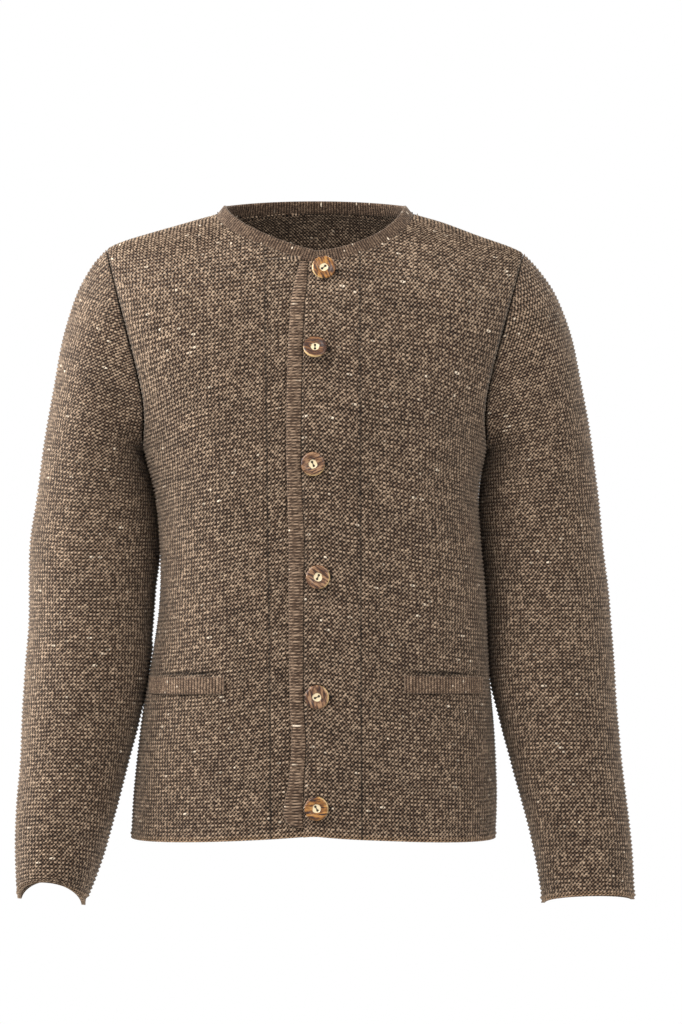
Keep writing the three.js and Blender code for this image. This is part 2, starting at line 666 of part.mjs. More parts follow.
function frontBandGeometry() {
  const ribs = Math.round((BAND.topZ - BAND.footZ) / BAND.ribPitch);
  const sections = Array.from({ length: 2 * ribs + 1 }, (_, i) => {
    const z = lerp(BAND.footZ, BAND.topZ, i / (2 * ribs));
    const lead = bodyPoint(bandLead(z), z, FRONT, true);
    const seam = bodyPoint(frontEdgeX(z) - SEAM_GAP, z, FRONT, true);
    const out = new THREE.Vector3(0, FRONT, 0);
    return stripSection(lead, seam, out, WALL, i % 2 ? BAND.rib : 0);
  });
  return ribbedGeometry(
    sections.filter((_, i) => i % 2 === 0),
    sections.filter((_, i) => i % 2 === 1),
  );
}

// A pocket welt, on its panel's own points moved out.
function weltGeometry({ side, inner, outer, top }) {
  const panel = side === WEARER_LEFT ? panels.front_left : panels.front_right;
  const topAt = (x) => top - (WELT.droop * (Math.abs(x) - inner)) / (outer - inner);
  const dense = 80;
  const middle = Array.from({ length: dense + 1 }, (_, k) => {
    const x = side * lerp(inner, outer, k / dense);
    return onPanel(panel, x, topAt(x) - WELT.height / 2).point;
  });
  const ribs = Math.round(lengthOf(middle) / WELT.ribPitch);
  const sections = resample(middle, 2 * ribs).map((p, i) => {
    const high = onPanel(panel, p.x, topAt(p.x));
    const low = onPanel(panel, p.x, topAt(p.x) - WELT.height);
    const out = high.out.clone().add(low.out).normalize();
    const lift = SEAM_GAP + WELT.clearance + WELT.thickness;
    const [a, b] = [low.point.addScaledVector(out, lift), high.point.addScaledVector(out, lift)];
    return stripSection(a, b, out, WELT.thickness, i % 2 ? WELT.rib : 0);
  });
  return ribbedGeometry(
    sections.filter((_, i) => i % 2 === 0),
    sections.filter((_, i) => i % 2 === 1),
  );
}

// ---------------------------------------------------------------- buttons

function toManifold(geometry) {
  const bare = geometry.clone();
  for (const name of Object.keys(bare.attributes))
    if (name !== "position") bare.deleteAttribute(name);
  const merged = mergeVertices(bare, 1e-4);
  return new wasm.Manifold(
    new wasm.Mesh({
      numProp: 3,
      vertProperties: merged.attributes.position.array,
      triVerts: new Uint32Array(merged.index.array),
    }),
  );
}

function fromManifold(solid) {
  const { vertProperties, triVerts } = solid.getMesh();
  const geometry = new THREE.BufferGeometry();
  geometry.setAttribute("position", new THREE.BufferAttribute(vertProperties, 3));
  geometry.setIndex(new THREE.BufferAttribute(triVerts, 1));
  geometry.computeVertexNormals();
  return geometry;
}

// A turned horn disc with a raised rim, a dished middle and two holes, on the short stalk of thread
// that holds it; its axis is +Y.
function buttonGeometry(stalk) {
  const { radius, thickness, holeRadius, holeSpacing, stalkRadius } = BUTTON;
  const profile = [
    [0, -stalk],
    [stalkRadius, -stalk],
    [stalkRadius, 0],
    [radius * 0.82, 0],
    [radius, thickness * 0.5],
    [radius * 0.85, thickness],
    [radius * 0.6, thickness * 0.7],
    [0, thickness * 0.7],
  ].map(([r, y]) => new THREE.Vector2(r, y));
  let solid = toManifold(new THREE.LatheGeometry(profile, 16));
  for (const end of [-1, 1]) {
    const hole = new THREE.CylinderGeometry(holeRadius, holeRadius, thickness, 6);
    hole.translate((end * holeSpacing) / 2, thickness * 0.8, 0);
    solid = solid.subtract(toManifold(hole));
  }
  return fromManifold(solid);
}

// Its holes lie level before it turns, anticlockwise as seen from the front.
function buttonMesh({ name, x, z, turn, tip }) {
  const { point, out } = onPanel(panels.front_left, x, z);
  const slant = Math.abs(Math.sin(radians(tip)));
  const lift = BUTTON.standOff + BUTTON.radius * slant;
  const stalk = lift - SEAM_GAP - BUTTON.stalkRadius * slant;
  const mesh = pieceMesh(name, buttonGeometry(stalk), horn);
  mesh.position.copy(point.addScaledVector(out, lift));
  const level = new THREE.Vector3(1, 0, 0);
  const facing = out.clone().applyAxisAngle(level, radians(tip));
  level.addScaledVector(facing, -level.dot(facing)).normalize();
  const upright = new THREE.Matrix4().makeBasis(level, facing, level.clone().cross(facing));
  mesh.quaternion.setFromRotationMatrix(upright);
  mesh.rotateY(radians(turn));
  return mesh;
}

// ---------------------------------------------------------------- the garment

const knit = new THREE.MeshStandardMaterial({ color: COLOURS.knit, roughness: 0.95 });
const ribKnit = new THREE.MeshStandardMaterial({ color: COLOURS.rib, roughness: 0.95 });
const horn = new THREE.MeshStandardMaterial({ color: COLOURS.horn, roughness: 0.3 });

function pieceMesh(name, geometry, material) {
  const mesh = new THREE.Mesh(geometry, material);
  mesh.name = name;
  return mesh;
}

const cloth = new THREE.Group();
for (const [name, wall] of Object.entries(panels))
  cloth.add(pieceMesh(name, wallGeometry(wall.outer, wall.inner), knit));
for (const [name, side] of [["left", WEARER_LEFT], ["right", WEARER_RIGHT]]) {
  const wall = sleeveWall(side, name);
  cloth.add(pieceMesh(`sleeve_${name}`, wallGeometry(wall.outer, wall.inner, true), knit));
}

const trims = new THREE.Group();
trims.add(pieceMesh("neckband", neckbandGeometry(), ribKnit));
trims.add(pieceMesh("front_band", frontBandGeometry(), ribKnit));
for (const welt of WELTS) trims.add(pieceMesh(welt.name, weltGeometry(welt), ribKnit));

const buttons = new THREE.Group();
for (const button of BUTTONS) buttons.add(buttonMesh(button));

const cardigan = new THREE.Group();
cardigan.add(cloth, trims, buttons);

export default cardigan;
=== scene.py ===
"""The looks of a tweed-knit cardigan, worn and buttoned: garter-knit body and sleeves, ribbed neckband
and edge band, two pocket welts, six worked buttonholes and six horn buttons.

Sizes are millimetres until a mesh is made, and the frame is the model's own: +Z up, +X the wearer's
left, and the front faces -Y.
"""

from __future__ import annotations

import logging
import math
from dataclasses import dataclass, field, replace
from enum import Enum
from typing import Callable, Sequence

import bmesh
import bpy
import numpy as np
from mathutils import Matrix, Vector


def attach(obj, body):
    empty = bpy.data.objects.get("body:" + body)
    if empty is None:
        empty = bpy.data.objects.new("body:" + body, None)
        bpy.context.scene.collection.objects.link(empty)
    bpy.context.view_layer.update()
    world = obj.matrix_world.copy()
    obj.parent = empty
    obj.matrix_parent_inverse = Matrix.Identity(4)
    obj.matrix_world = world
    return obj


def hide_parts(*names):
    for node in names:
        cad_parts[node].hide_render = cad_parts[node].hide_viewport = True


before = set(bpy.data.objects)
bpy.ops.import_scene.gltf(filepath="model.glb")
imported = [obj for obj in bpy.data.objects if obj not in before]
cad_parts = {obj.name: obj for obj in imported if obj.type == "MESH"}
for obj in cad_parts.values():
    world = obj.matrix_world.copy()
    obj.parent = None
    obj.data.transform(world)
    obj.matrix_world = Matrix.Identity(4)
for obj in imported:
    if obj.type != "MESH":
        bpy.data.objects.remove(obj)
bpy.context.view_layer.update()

log = logging.getLogger("cardigan")

MM = 0.001
PER_METRE = (1000.0, 1000.0, 0.0)  # turns coordinates in metres into millimetres
BODY = "root"
CLOTH_UV = "cloth"
FACE_UV = "face"
# painted shade: how far the cloth's colour is darkened in its seams and the pockets' mouths
PAINTED_SHADE = "shade"
WALL = 3.0  # thickness of the cloth
SEAM_GAP = 0.3  # between two pieces that are sewn together
COURSE = 4.25  # height of one knitted ridge
STITCH = 3.84  # width of one stitch
ROWS_PER_COURSE = 4
RIB_PITCH = 3.3  # cloth coordinates count every strip's ribs at this pitch

Reader = Callable[[np.ndarray], np.ndarray]
Colour = tuple[float, float, float]  # a display colour, 0 to 255 a channel
Place = tuple[float, float, float]  # in metres


class Face(Enum):
    """The side of the body that a panel lies on."""

    FRONT = -1
    BACK = 1


class Side(Enum):
    """The wearer's side that a piece lies on."""

    LEFT = 1
    RIGHT = -1


# ---------------------------------------------------------------- helpers for sizes


def smooth_column(places: Sequence[float], values: Sequence[float]) -> Reader:
    """A smooth curve through a column of sizes.

    Args:
        places: where each size is given, rising.
        values: the sizes.

    Returns:
        A function that reads the curve at an array of places.
    """
    xs, ys = np.asarray(places, float), np.asarray(values, float)
    last = len(xs) - 1
    index = np.arange(last + 1)
    before, after = np.maximum(index - 1, 0), np.minimum(index + 1, last)
    slopes = (ys[after] - ys[before]) / (xs[after] - xs[before])

    def read(at: np.ndarray) -> np.ndarray:
        """The size at each place."""
        at = np.asarray(at, float)
        i = np.clip(np.searchsorted(xs, at, side="left") - 1, 0, last - 1)
        span = xs[i + 1] - xs[i]
        t = np.clip((at - xs[i]) / span, 0, 1)
        t2, t3 = t * t, t * t * t
        return (
            (2 * t3 - 3 * t2 + 1) * ys[i]
            + (t3 - 2 * t2 + t) * span * slopes[i]
            + (3 * t2 - 2 * t3) * ys[i + 1]
            + (t3 - t2) * span * slopes[i + 1]
        )

    return read


def smoothstep(low: float, high: float, at: np.ndarray) -> np.ndarray:
    """0 below low and 1 above high, turning smoothly between them."""
    t = np.clip((np.asarray(at, float) - low) / (high - low), 0, 1)
    return t * t * (3 - 2 * t)


def unit(vectors: np.ndarray) -> np.ndarray:
    """The same directions, each of length 1."""
    return vectors / np.maximum(np.linalg.norm(vectors, axis=-1, keepdims=True), 1e-9)


def run_length(points: np.ndarray) -> np.ndarray:
    """The distance along a line of points, from its first one."""
    steps = np.linalg.norm(np.diff(points, axis=0), axis=1)
    return np.concatenate([[0.0], np.cumsum(steps)])


def resample(points: np.ndarray, pieces: int) -> np.ndarray:
    """Points at even distances along a line, its ends included."""
    reached = run_length(points)
    want = np.linspace(0, reached[-1], pieces + 1)
    return np.stack([np.interp(want, reached, points[:, c]) for c in range(3)], axis=1)


@dataclass(frozen=True)
class Unevenness:
    """A smooth, seeded wander over the cloth, from -1 to 1."""

    seed: int
    size: float  # distance over which it changes
    cells: int = 48

    def at(self, a: np.ndarray, b: np.ndarray) -> np.ndarray:
        """The wander at places across (a) and up (b) the cloth."""
        table = np.random.default_rng(self.seed).uniform(-1, 1, (self.cells, self.cells))
        a, b = np.asarray(a, float) / self.size, np.asarray(b, float) / self.size
        i, j = np.floor(a).astype(int), np.floor(b).astype(int)
        s, t = a - i, b - j
        s, t = s * s * (3 - 2 * s), t * t * (3 - 2 * t)

        def corner(di: int, dj: int) -> np.ndarray:
            """The table's value at one corner of each cell."""
            return table[(i + di) % self.cells, (j + dj) % self.cells]

        low = corner(0, 0) * (1 - s) + corner(1, 0) * s
        high = corner(0, 1) * (1 - s) + corner(1, 1) * s
        return low * (1 - t) + high * t


@dataclass(frozen=True)
class Crease:
    """One soft trough, or a ridge where depth is negative, along a slightly bowed line."""

    start: tuple[float, float]
    end: tuple[float, float]
    width: float
    depth: float
    bow: float = 0.0

    def depth_at(self, a: np.ndarray, b: np.ndarray) -> np.ndarray:
        """How far the crease draws the cloth in at places across (a) and up (b)."""
        run_a, run_b = self.end[0] - self.start[0], self.end[1] - self.start[1]
        length = math.hypot(run_a, run_b)
        along_a, along_b = run_a / length, run_b / length
        t = ((a - self.start[0]) * along_a + (b - self.start[1]) * along_b) / length
        off = (a - self.start[0]) * -along_b + (b - self.start[1]) * along_a
        off = off - self.bow * np.sin(np.pi * np.clip(t, 0, 1))
        ends = np.sin(np.pi * np.clip(t, 0, 1)) ** 0.8
        return self.depth * ends * np.exp(-((off / self.width) ** 2))


# ---------------------------------------------------------------- meshes


@dataclass
class ClothGrid:
    """A knitted surface as rows of points, the courses running along the rows."""

    outer: np.ndarray
    inner: np.ndarray
    cloth: np.ndarray  # distance across and up the cloth at each point
    shade: np.ndarray  # painted shade: 0 on open cloth, up to 1 down in a seam or a pocket's mouth

    def area(self) -> float:
        """The flat area of the cut, in square millimetres."""
        u, v = self.cloth[..., 0], self.cloth[..., 1]
        across = np.diff(u, axis=1)[:-1] + np.diff(u, axis=1)[1:]
        up = np.diff(v, axis=0)[:, :-1] + np.diff(v, axis=0)[:, 1:]
        return float(np.sum(np.abs(across * up)) / 4)

    def size(self) -> tuple[float, float]:
        """Width and length of the cut's own box."""
        spread = self.cloth.reshape(-1, 2)
        width, length = spread.max(axis=0) - spread.min(axis=0)
        return float(width), float(length)


def new_piece(name: str, bm: bmesh.types.BMesh, material: bpy.types.Material) -> bpy.types.Object:
    """Makes an object of a finished bmesh, with its material, slot and body.

    Args:
        name: the piece's name.
        bm: its shape, in metres; it is freed.
        material: its finish.

    Returns:
        The new object.
    """
    mesh = bpy.data.meshes.new(name)
    bm.to_mesh(mesh)
    bm.free()
    mesh.polygons.foreach_set("use_smooth", [True] * len(mesh.polygons))
    mesh.materials.append(material)
    piece = bpy.data.objects.new(name, mesh)
    bpy.context.scene.collection.objects.link(piece)
    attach(piece, BODY)
    return piece


def add_grid(
    bm: bmesh.types.BMesh,
    points: np.ndarray,
    cloth: np.ndarray,
    inner: np.ndarray | None = None,
    painted_shades: np.ndarray | None = None,
) -> None:
    """Adds a sheet of faces through rows of points, with its cloth coordinates.

    Args:
        bm: the mesh that takes it.
        points: rows of points, in millimetres.
        cloth: the cloth coordinates of each point, in millimetres.
        inner: where the wall's other face lies at each point.
        painted_shades: how far painted shade darkens the cloth at each point.
    """
    rows, columns = points.shape[:2]
    inside = bm.verts.layers.float_vector.get("inside") or bm.verts.layers.float_vector.new("inside")
    shade = bm.verts.layers.float.get(PAINTED_SHADE) or bm.verts.layers.float.new(PAINTED_SHADE)
    uv = bm.loops.layers.uv.get(CLOTH_UV) or bm.loops.layers.uv.new(CLOTH_UV)
    made = bmesh.ops.create_grid(bm, x_segments=columns - 1, y_segments=rows - 1, size=1.0)
    places = (points.reshape(-1, 3) * MM).tolist()
    insides = places if inner is None else (inner.reshape(-1, 3) * MM).tolist()
    cloths = (cloth.reshape(-1, 2) * MM).tolist()
    darks = [0.0] * len(places) if painted_shades is None else painted_shades.reshape(-1).tolist()
    order: dict[bmesh.types.BMVert, int] = {}
    for k, vert in enumerate(made["verts"]):
        vert.co = places[k]
        vert[inside] = insides[k]
        vert[shade] = darks[k]
        order[vert] = k
    for vert, k in order.items():
        for loop in vert.link_loops:
            loop[uv].uv = cloths[k]


def wall_mesh(grids: Sequence[ClothGrid]) -> bmesh.types.BMesh:
    """A closed wall of cloth from its grids, sewn together where their edges meet.

    Args:
        grids: the surfaces of the piece.

    Returns:
        The wall, with its cloth coordinates.
    """
    bm = bmesh.new()
    for grid in grids:
        add_grid(bm, grid.outer, grid.cloth, grid.inner, grid.shade)
    bmesh.ops.remove_doubles(bm, verts=bm.verts[:], dist=2e-5)
    bmesh.ops.dissolve_degenerate(bm, edges=bm.edges[:], dist=1e-6)
    bmesh.ops.recalc_face_normals(bm, faces=bm.faces[:])
    inside = bm.verts.layers.float_vector["inside"]
    outer = set(bm.verts)
    bmesh.ops.solidify(bm, geom=bm.faces[:], thickness=WALL * MM)
    for vert in bm.verts:
        if vert not in outer:
            vert.co = vert[inside]
    bm.normal_update()
    if bm.calc_volume(signed=True) < 0:
        bmesh.ops.reverse_faces(bm, faces=bm.faces[:])
    return bm


def swept_mesh(sections: np.ndarray, cloth: np.ndarray) -> bmesh.types.BMesh:
    """A closed strip through sections, each a closed loop of points whose last is its first.

    Args:
        sections: the loops of points along the strip.
        cloth: the cloth coordinates of each point.

    Returns:
        The strip, its two ends filled.
    """
    bm = bmesh.new()
    add_grid(bm, sections, cloth)
    bmesh.ops.remove_doubles(bm, verts=bm.verts[:], dist=1e-6)
    bmesh.ops.holes_fill(bm, edges=[e for e in bm.edges if e.is_boundary], sides=0)
    bmesh.ops.recalc_face_normals(bm, faces=bm.faces[:])
    if bm.calc_volume(signed=True) < 0:
        bmesh.ops.reverse_faces(bm, faces=bm.faces[:])
    return bm


def outward_of(points: np.ndarray, away: np.ndarray) -> np.ndarray:
    """The outward direction at each point of a grid, on the side that away points to."""
    across, up = np.gradient(points, axis=1), np.gradient(points, axis=0)
    out = unit(np.cross(across, up))
    return np.where(np.sum(out * away, axis=-1, keepdims=True) < 0, -out, out)


# ---------------------------------------------------------------- the body's form


@dataclass(frozen=True)
class BodyForm:
    """The hollow form that the cloth of the body follows."""

    squareness: float = 2.4
    shoulder_round: float = 85.0
    neck_half: float = 102.0
    neck_point_z: float = -4.0
    neck_front_z: float = -59.0
    neck_back_z: float = 4.0
    neck_rise: float = 30.0
    neck_side_power: tuple[float, float] = (1.75, 1.1)  # on the left and right
    neck_drop_power: tuple[float, float] = (0.62, 0.6)
    hem_centre_z: float = -638.0
    hem_side_z: float = -650.0
    hem_back_z: float = -652.0
    lap_lift: float = 4.6
    lap_full_to: float = 30.0
    lap_gone_by: float = 80.0
    # z, half width to the left and right, front and back depth, middle
    sections: tuple[tuple[float, ...], ...] = (
        (-660, 186, 190, 118, 110, -4),
        (-600, 188, 187, 116, 108, -5),
        (-550, 186, 182, 114, 104, -6),
        (-500, 182, 175, 112, 99, -7),
        (-450, 179, 166, 110, 95, -8),
        (-400, 177, 160, 110, 94, -8),
        (-350, 172, 161, 112, 99, -6),
        (-300, 170, 166, 116, 106, -4),
        (-250, 178, 178, 120, 112, -1),
        (-200, 190, 190, 121, 115, 1),
        (-150, 203, 204, 115, 113, 3),
        (-100, 219, 220, 101, 107, 5),
        (-60, 231, 231, 79, 97, 7),
        (-33, 238, 238, 65, 90, 8),
        (30, 250, 250, 50, 82, 8),
    )
    # distance out, height of the shoulder seam on the left and right
    shoulders: tuple[tuple[float, float, float], ...] = (
        (102, -4, -4),
        (136, -14.5, -14),
        (168, -26.5, -23),
        (206, -39.5, -35),
        (226, -50, -46),
    )

    def column(self, k: int) -> Reader:
        """The smooth curve through one column of the sections."""
        return smooth_column([row[0] for row in self.sections], [row[k] for row in self.sections])

    def half_width(self, x: np.ndarray, z: np.ndarray) -> np.ndarray:
        """Half width of the form at a height, on the side that x lies on."""
        return np.where(np.asarray(x) > 0, self.column(1)(z), self.column(2)(z))

    def middle(self, z: np.ndarray) -> np.ndarray:
        """Where the side seam lies, front to back, at a height."""
        return self.column(5)(z)

    def crest_z(self, x: np.ndarray) -> np.ndarray:
        """Height at which the form ends above a place across it."""
        x = np.asarray(x, float)
        out = np.abs(x)
        places = [row[0] for row in self.shoulders]
        left = smooth_column(places, [row[1] for row in self.shoulders])(out)
        right = smooth_column(places, [row[2] for row in self.shoulders])(out)
        inside = self.neck_point_z + self.neck_rise * (1 - (out / self.neck_half) ** 2)
        return np.where(out >= self.neck_half, np.where(x > 0, left, right), inside)

    def arch(self, below: np.ndarray) -> np.ndarray:
        """How full the section is at a distance below the crest."""
        return np.sqrt(1 - (1 - np.clip(below / self.shoulder_round, 0, 1)) ** 2)

    def bulge(self, reach: np.ndarray) -> np.ndarray:
        """How full the section is at a share of its half width."""
        return (1 - np.clip(reach, 0, 1) ** self.squareness) ** (1 / self.squareness)

    def points(self, x: np.ndarray, z: np.ndarray, face: Face, lapped: bool = False) -> np.ndarray:
        """The cloth's outer face at places across and up the body.

        Args:
            x: places across.
            z: heights.
            face: front or back.
            lapped: whether the piece laps over the other front.

        Returns:
            The points, three numbers each.
        """
        x, z = np.broadcast_arrays(np.asarray(x, float), np.asarray(z, float))
        depth = self.column(3 if face is Face.FRONT else 4)(z)
        full = depth * self.bulge(np.abs(x) / self.half_width(x, z)) * self.arch(self.crest_z(x) - z)
        lift = self.lap_lift * (1 - smoothstep(self.lap_full_to, self.lap_gone_by, x)) if lapped else 0.0
        y = self.middle(z) + face.value * (np.maximum(full, SEAM_GAP / 2) + lift)
        return np.stack([x, y, z], axis=-1)

    def neckline_z(self, x: np.ndarray, face: Face) -> np.ndarray:
        """Height of the neckline's seam at a place across."""
        q = np.clip(np.abs(x) / self.neck_half, 0, 1)
        if face is Face.BACK:
            return self.neck_back_z + (self.neck_point_z - self.neck_back_z) * q * q
        side, power = (
            np.where(np.asarray(x) > 0, *powers) for powers in (self.neck_side_power, self.neck_drop_power)
        )
        drop = (1 - q**side) ** power
        return self.neck_point_z + (self.neck_front_z - self.neck_point_z) * drop

    def hem_z(self, x: np.ndarray, face: Face) -> np.ndarray:
        """Height of the hem at a place across."""
        q = np.clip(np.abs(x) / self.half_width(x, self.hem_side_z), 0, 1)
        centre = self.hem_centre_z if face is Face.FRONT else self.hem_back_z
        return centre + (self.hem_side_z - centre) * q**0.8


@dataclass(frozen=True)
class Armhole:
    """The armhole's seam, shared by a panel and its sleeve."""

    form: BodyForm
    shoulder_x: float = 217.0
    bottom_z: float = -250.0
    scoop_z: float = -190.0
    front_scoop: float = 58.0
    back_scoop: float = 56.0
    rise: float = 1.08

    def half(self, side: Side, face: Face, pieces: int) -> np.ndarray:
        """The front or back half, from the underarm up to the shoulder."""
        scoop = self.front_scoop if face is Face.FRONT else self.back_scoop
        turn = np.linspace(0, np.pi / 2, 61)
        z = self.scoop_z + (self.bottom_z - self.scoop_z) * np.cos(turn)
        depth = self.form.column(3 if face is Face.FRONT else 4)(z)
        width = self.form.half_width(np.full_like(z, side.value), z)
        low = self.form.points(side.value * width * self.form.bulge(scoop * np.sin(turn) / depth), z, face)
        up = np.sin(np.linspace(0, np.pi / 2, 61))[1:]
        start_x = abs(low[-1, 0])
        x = start_x + (self.shoulder_x - start_x) * up**self.rise
        top_z = float(self.form.crest_z(side.value * self.shoulder_x))
        high = self.form.points(side.value * x, self.scoop_z + (top_z - self.scoop_z) * up, face)
        return resample(np.concatenate([low, high]), pieces)

    def ring(self, side: Side, pieces: int) -> np.ndarray:
        """The whole armhole once round, the front half first."""
        front, back = self.half(side, Face.FRONT, pieces), self.half(side, Face.BACK, pieces)
        return np.concatenate([front, back[-2::-1]])


# ---------------------------------------------------------------- knitted relief


@dataclass(frozen=True)
class KnitRelief:
    """How far the knitted face stands out: garter ridges, rolled edge, seams and wander; and the painted
    shade along its seams.
    """

    ridge: float = 0.9
    roll_height: float = 8.5
    roll: float = 0.7
    seam_dent: float = 0.9
    seam_width: float = 2.4

    def at(self, up: np.ndarray, from_seam: np.ndarray) -> np.ndarray:
        """The relief at distances up from the edge and in from the nearest seam."""
        courses = self.ridge * np.cos(2 * np.pi * up / COURSE)
        edge = self.roll * np.sin(np.pi * np.clip(up / self.roll_height, 0, 1)) ** 0.7
        seam = np.exp(-((from_seam / self.seam_width) ** 2))
        return courses * (1 - 0.7 * seam) + edge - self.seam_dent * seam

    def painted_shade_at(self, from_seam: np.ndarray) -> np.ndarray:
        """How much painted shade darkens the cloth at distances in from the nearest seam."""
        return 0.5 * np.exp(-((from_seam / 1.3) ** 2))


# ---------------------------------------------------------------- body panels


@dataclass
class Panel:
    """Half a body panel, cut along its courses from the hem to the shoulder."""

    form: BodyForm
    armhole: Armhole
    side: Side
    face: Face
    edge: Reader  # the inner edge's distance out, by height
    lapped: bool = False
    columns: int = 36
    creases: Sequence[Crease] = ()
    mouth: Crease | None = None  # the pocket's opening, a groove with painted shade in it
    relief: KnitRelief = field(default_factory=KnitRelief)
    wander: float = 0.7  # how far a course strays up and down
    softness: float = 0.9  # how far the cloth swells in and out
    guide_depth: float = 95.0  # a plain form, deep and wide like this, gives distances up the cloth
    guide_width: float = 235.0
    # height, how steeply the courses fall away from the centre line
    fall: tuple[tuple[float, float], ...] = (
        (-652, 0.0),
        (-600, 0.03),
        (-520, 0.09),
        (-440, 0.125),
        (-300, 0.13),
        (-200, 0.12),
        (-120, 0.1),
        (-60, 0.07),
        (30, 0.05),
    )
    underarm_fall: float = 15.0

    def course_drop(self, out: np.ndarray, z: np.ndarray) -> np.ndarray:
        """How far a course has fallen at a distance out, from its height on the centre line."""
        slope = smooth_column([row[0] for row in self.fall], [row[1] for row in self.fall])(z)
        share = 1.0 if self.face is Face.FRONT else 0.6
        steady = np.hypot(out, 14.0) - 14.0
        near_arm = smoothstep(105, 190, out) * np.exp(-(((z + 225) / 75) ** 2))
        return share * slope * steady + self.underarm_fall * near_arm

    def height_table(self, out: np.ndarray) -> tuple[np.ndarray, np.ndarray]:
        """Heights and distances up the cloth over each place out from the centre.

        Args:
            out: distances out from the centre line.

        Returns:
            Two tables, a column for each place.
        """
        x = self.side.value * out
        hem = self.form.hem_z(x, self.face)
        crest = self.form.crest_z(x)
        top = np.where(np.abs(out) < self.form.neck_half, self.form.neckline_z(x, self.face), crest)
        share = 1 - (1 - np.linspace(0, 1, 400)) ** 2
        z = hem + (top - hem) * share[:, None]
        fullness = self.guide_depth * self.form.bulge(np.abs(out) / self.guide_width)
        depth = fullness * self.form.arch(crest - z)
        steps = np.hypot(np.diff(z, axis=0), np.diff(depth, axis=0))
        up = np.concatenate([np.zeros((1, len(out))), np.cumsum(steps, axis=0)])
        drop = self.course_drop(np.broadcast_to(out, z.shape), z)
        return z, up + drop - drop[:1]

    def side_limit(self) -> Reader:
        """How far out the panel reaches, by height: the side seam, then the armhole."""
        seam = self.armhole.half(self.side, self.face, 240)
        z_seam, x_seam = seam[:, 2], np.abs(seam[:, 0])

        def read(z: np.ndarray) -> np.ndarray:
            """The limit at each height."""
            body = self.form.half_width(np.full_like(z, self.side.value), z)
            return np.where(z < self.armhole.bottom_z, body, np.interp(z, z_seam, x_seam))

        return read

    def grid(self) -> ClothGrid:
        """The panel's wall: rows follow the courses and end at the cut's edges."""
        low = float(min(np.min(self.edge(np.linspace(-652, -50, 200))), 0)) - 1
        out = np.linspace(low, self.armhole.shoulder_x + 3, 460)
        heights, ups = self.height_table(out)
        limit = self.side_limit()
        spread = np.sin(np.linspace(0, np.pi / 2, 160)) ** (2 / self.form.squareness)
        dv = COURSE / ROWS_PER_COURSE
        rows, cloth, seams = [], [], []
        for row in range(int(ups[-1].max() / dv) + 1):
            up = row * dv
            z = np.array([np.interp(up, ups[:, k], heights[:, k]) for k in range(len(out))])
            room = np.minimum(ups[-1] - up, np.minimum(limit(z) - out, out - self.edge(z)))
            inside = np.nonzero(room >= 0)[0]
            if len(inside) < 2:
                continue
            first, last = inside[0], inside[-1]
            start = out[first]
            if first > 0:
                start -= (out[first] - out[first - 1]) * room[first] / (room[first] - room[first - 1])
            end = out[last]
            if last < len(out) - 1:
                end += (out[last + 1] - out[last]) * room[last] / (room[last] - room[last + 1])
            q = start + (end - start) * spread
            line = self.form.points(self.side.value * q, np.interp(q, out, z), self.face, self.lapped)
            reached = run_length(line)
            even = np.interp(np.linspace(0, reached[-1], self.columns + 1), reached, q)
            even_z = np.interp(even, out, z)
            rows.append(self.form.points(self.side.value * even, even_z, self.face, self.lapped))
            u = np.interp(even, q, reached) + start
            cloth.append(np.stack([-self.face.value * self.side.value * u, np.full_like(u, up)], axis=1))
            in_row = reached[-1] + start - u + 30 * (z[last] < self.armhole.bottom_z)
            below_top = np.interp(even, out, ups[-1]) - up + 60 * (even < self.form.neck_half)
            seams.append(np.minimum(in_row, below_top))
        return self.finished(np.array(rows), np.array(cloth), np.array(seams))

    def finished(self, plain: np.ndarray, cloth: np.ndarray, from_seam: np.ndarray) -> ClothGrid:
        """The wall's two faces from its plain surface.

        Args:
            plain: the smooth surface.
            cloth: distances across and up the cloth.
            from_seam: distance in from the side seam, armhole or shoulder.

        Returns:
            The finished grid.
        """
        away = np.zeros_like(plain)
        away[..., 0], away[..., 1] = plain[..., 0] * 0.02, self.face.value
        out = outward_of(plain, away)
        on_seam = np.abs(plain[..., 1] - self.form.middle(plain[..., 2])) < SEAM_GAP
        out[..., 1] = np.where(on_seam, 0, out[..., 1])
        out = unit(out)
        x, z = plain[..., 0], plain[..., 2]
        drift = self.wander * Unevenness(3 + self.face.value, 34).at(x, z)
        drift = drift * smoothstep(8, 30, cloth[..., 1]) * smoothstep(0, 10, from_seam)
        plain = plain + np.stack([0 * drift, 0 * drift, drift], axis=-1)
        soft = sum((-crease.depth_at(x, z) for crease in self.creases), np.zeros_like(x))
        swell = Unevenness(11 + self.face.value, 70).at(x, z) * smoothstep(0, 30, from_seam)
        soft = soft + self.softness * swell
        relief = self.relief.at(cloth[..., 1], from_seam)
        # painted shade along the seams, deepened in the pocket's mouth
        shade = self.relief.painted_shade_at(from_seam)
        if self.mouth is not None:
            # the mouth is drawn in and its depth also paints shade into it
            opening = self.mouth.depth_at(x, z)
            relief, shade = relief - opening, shade + opening / self.mouth.depth
        plain = plain + out * soft[..., None]
        shade = np.clip(shade, 0, 1)
        return ClothGrid(plain + out * relief[..., None], plain - out * WALL, cloth, shade)


# ---------------------------------------------------------------- sleeves


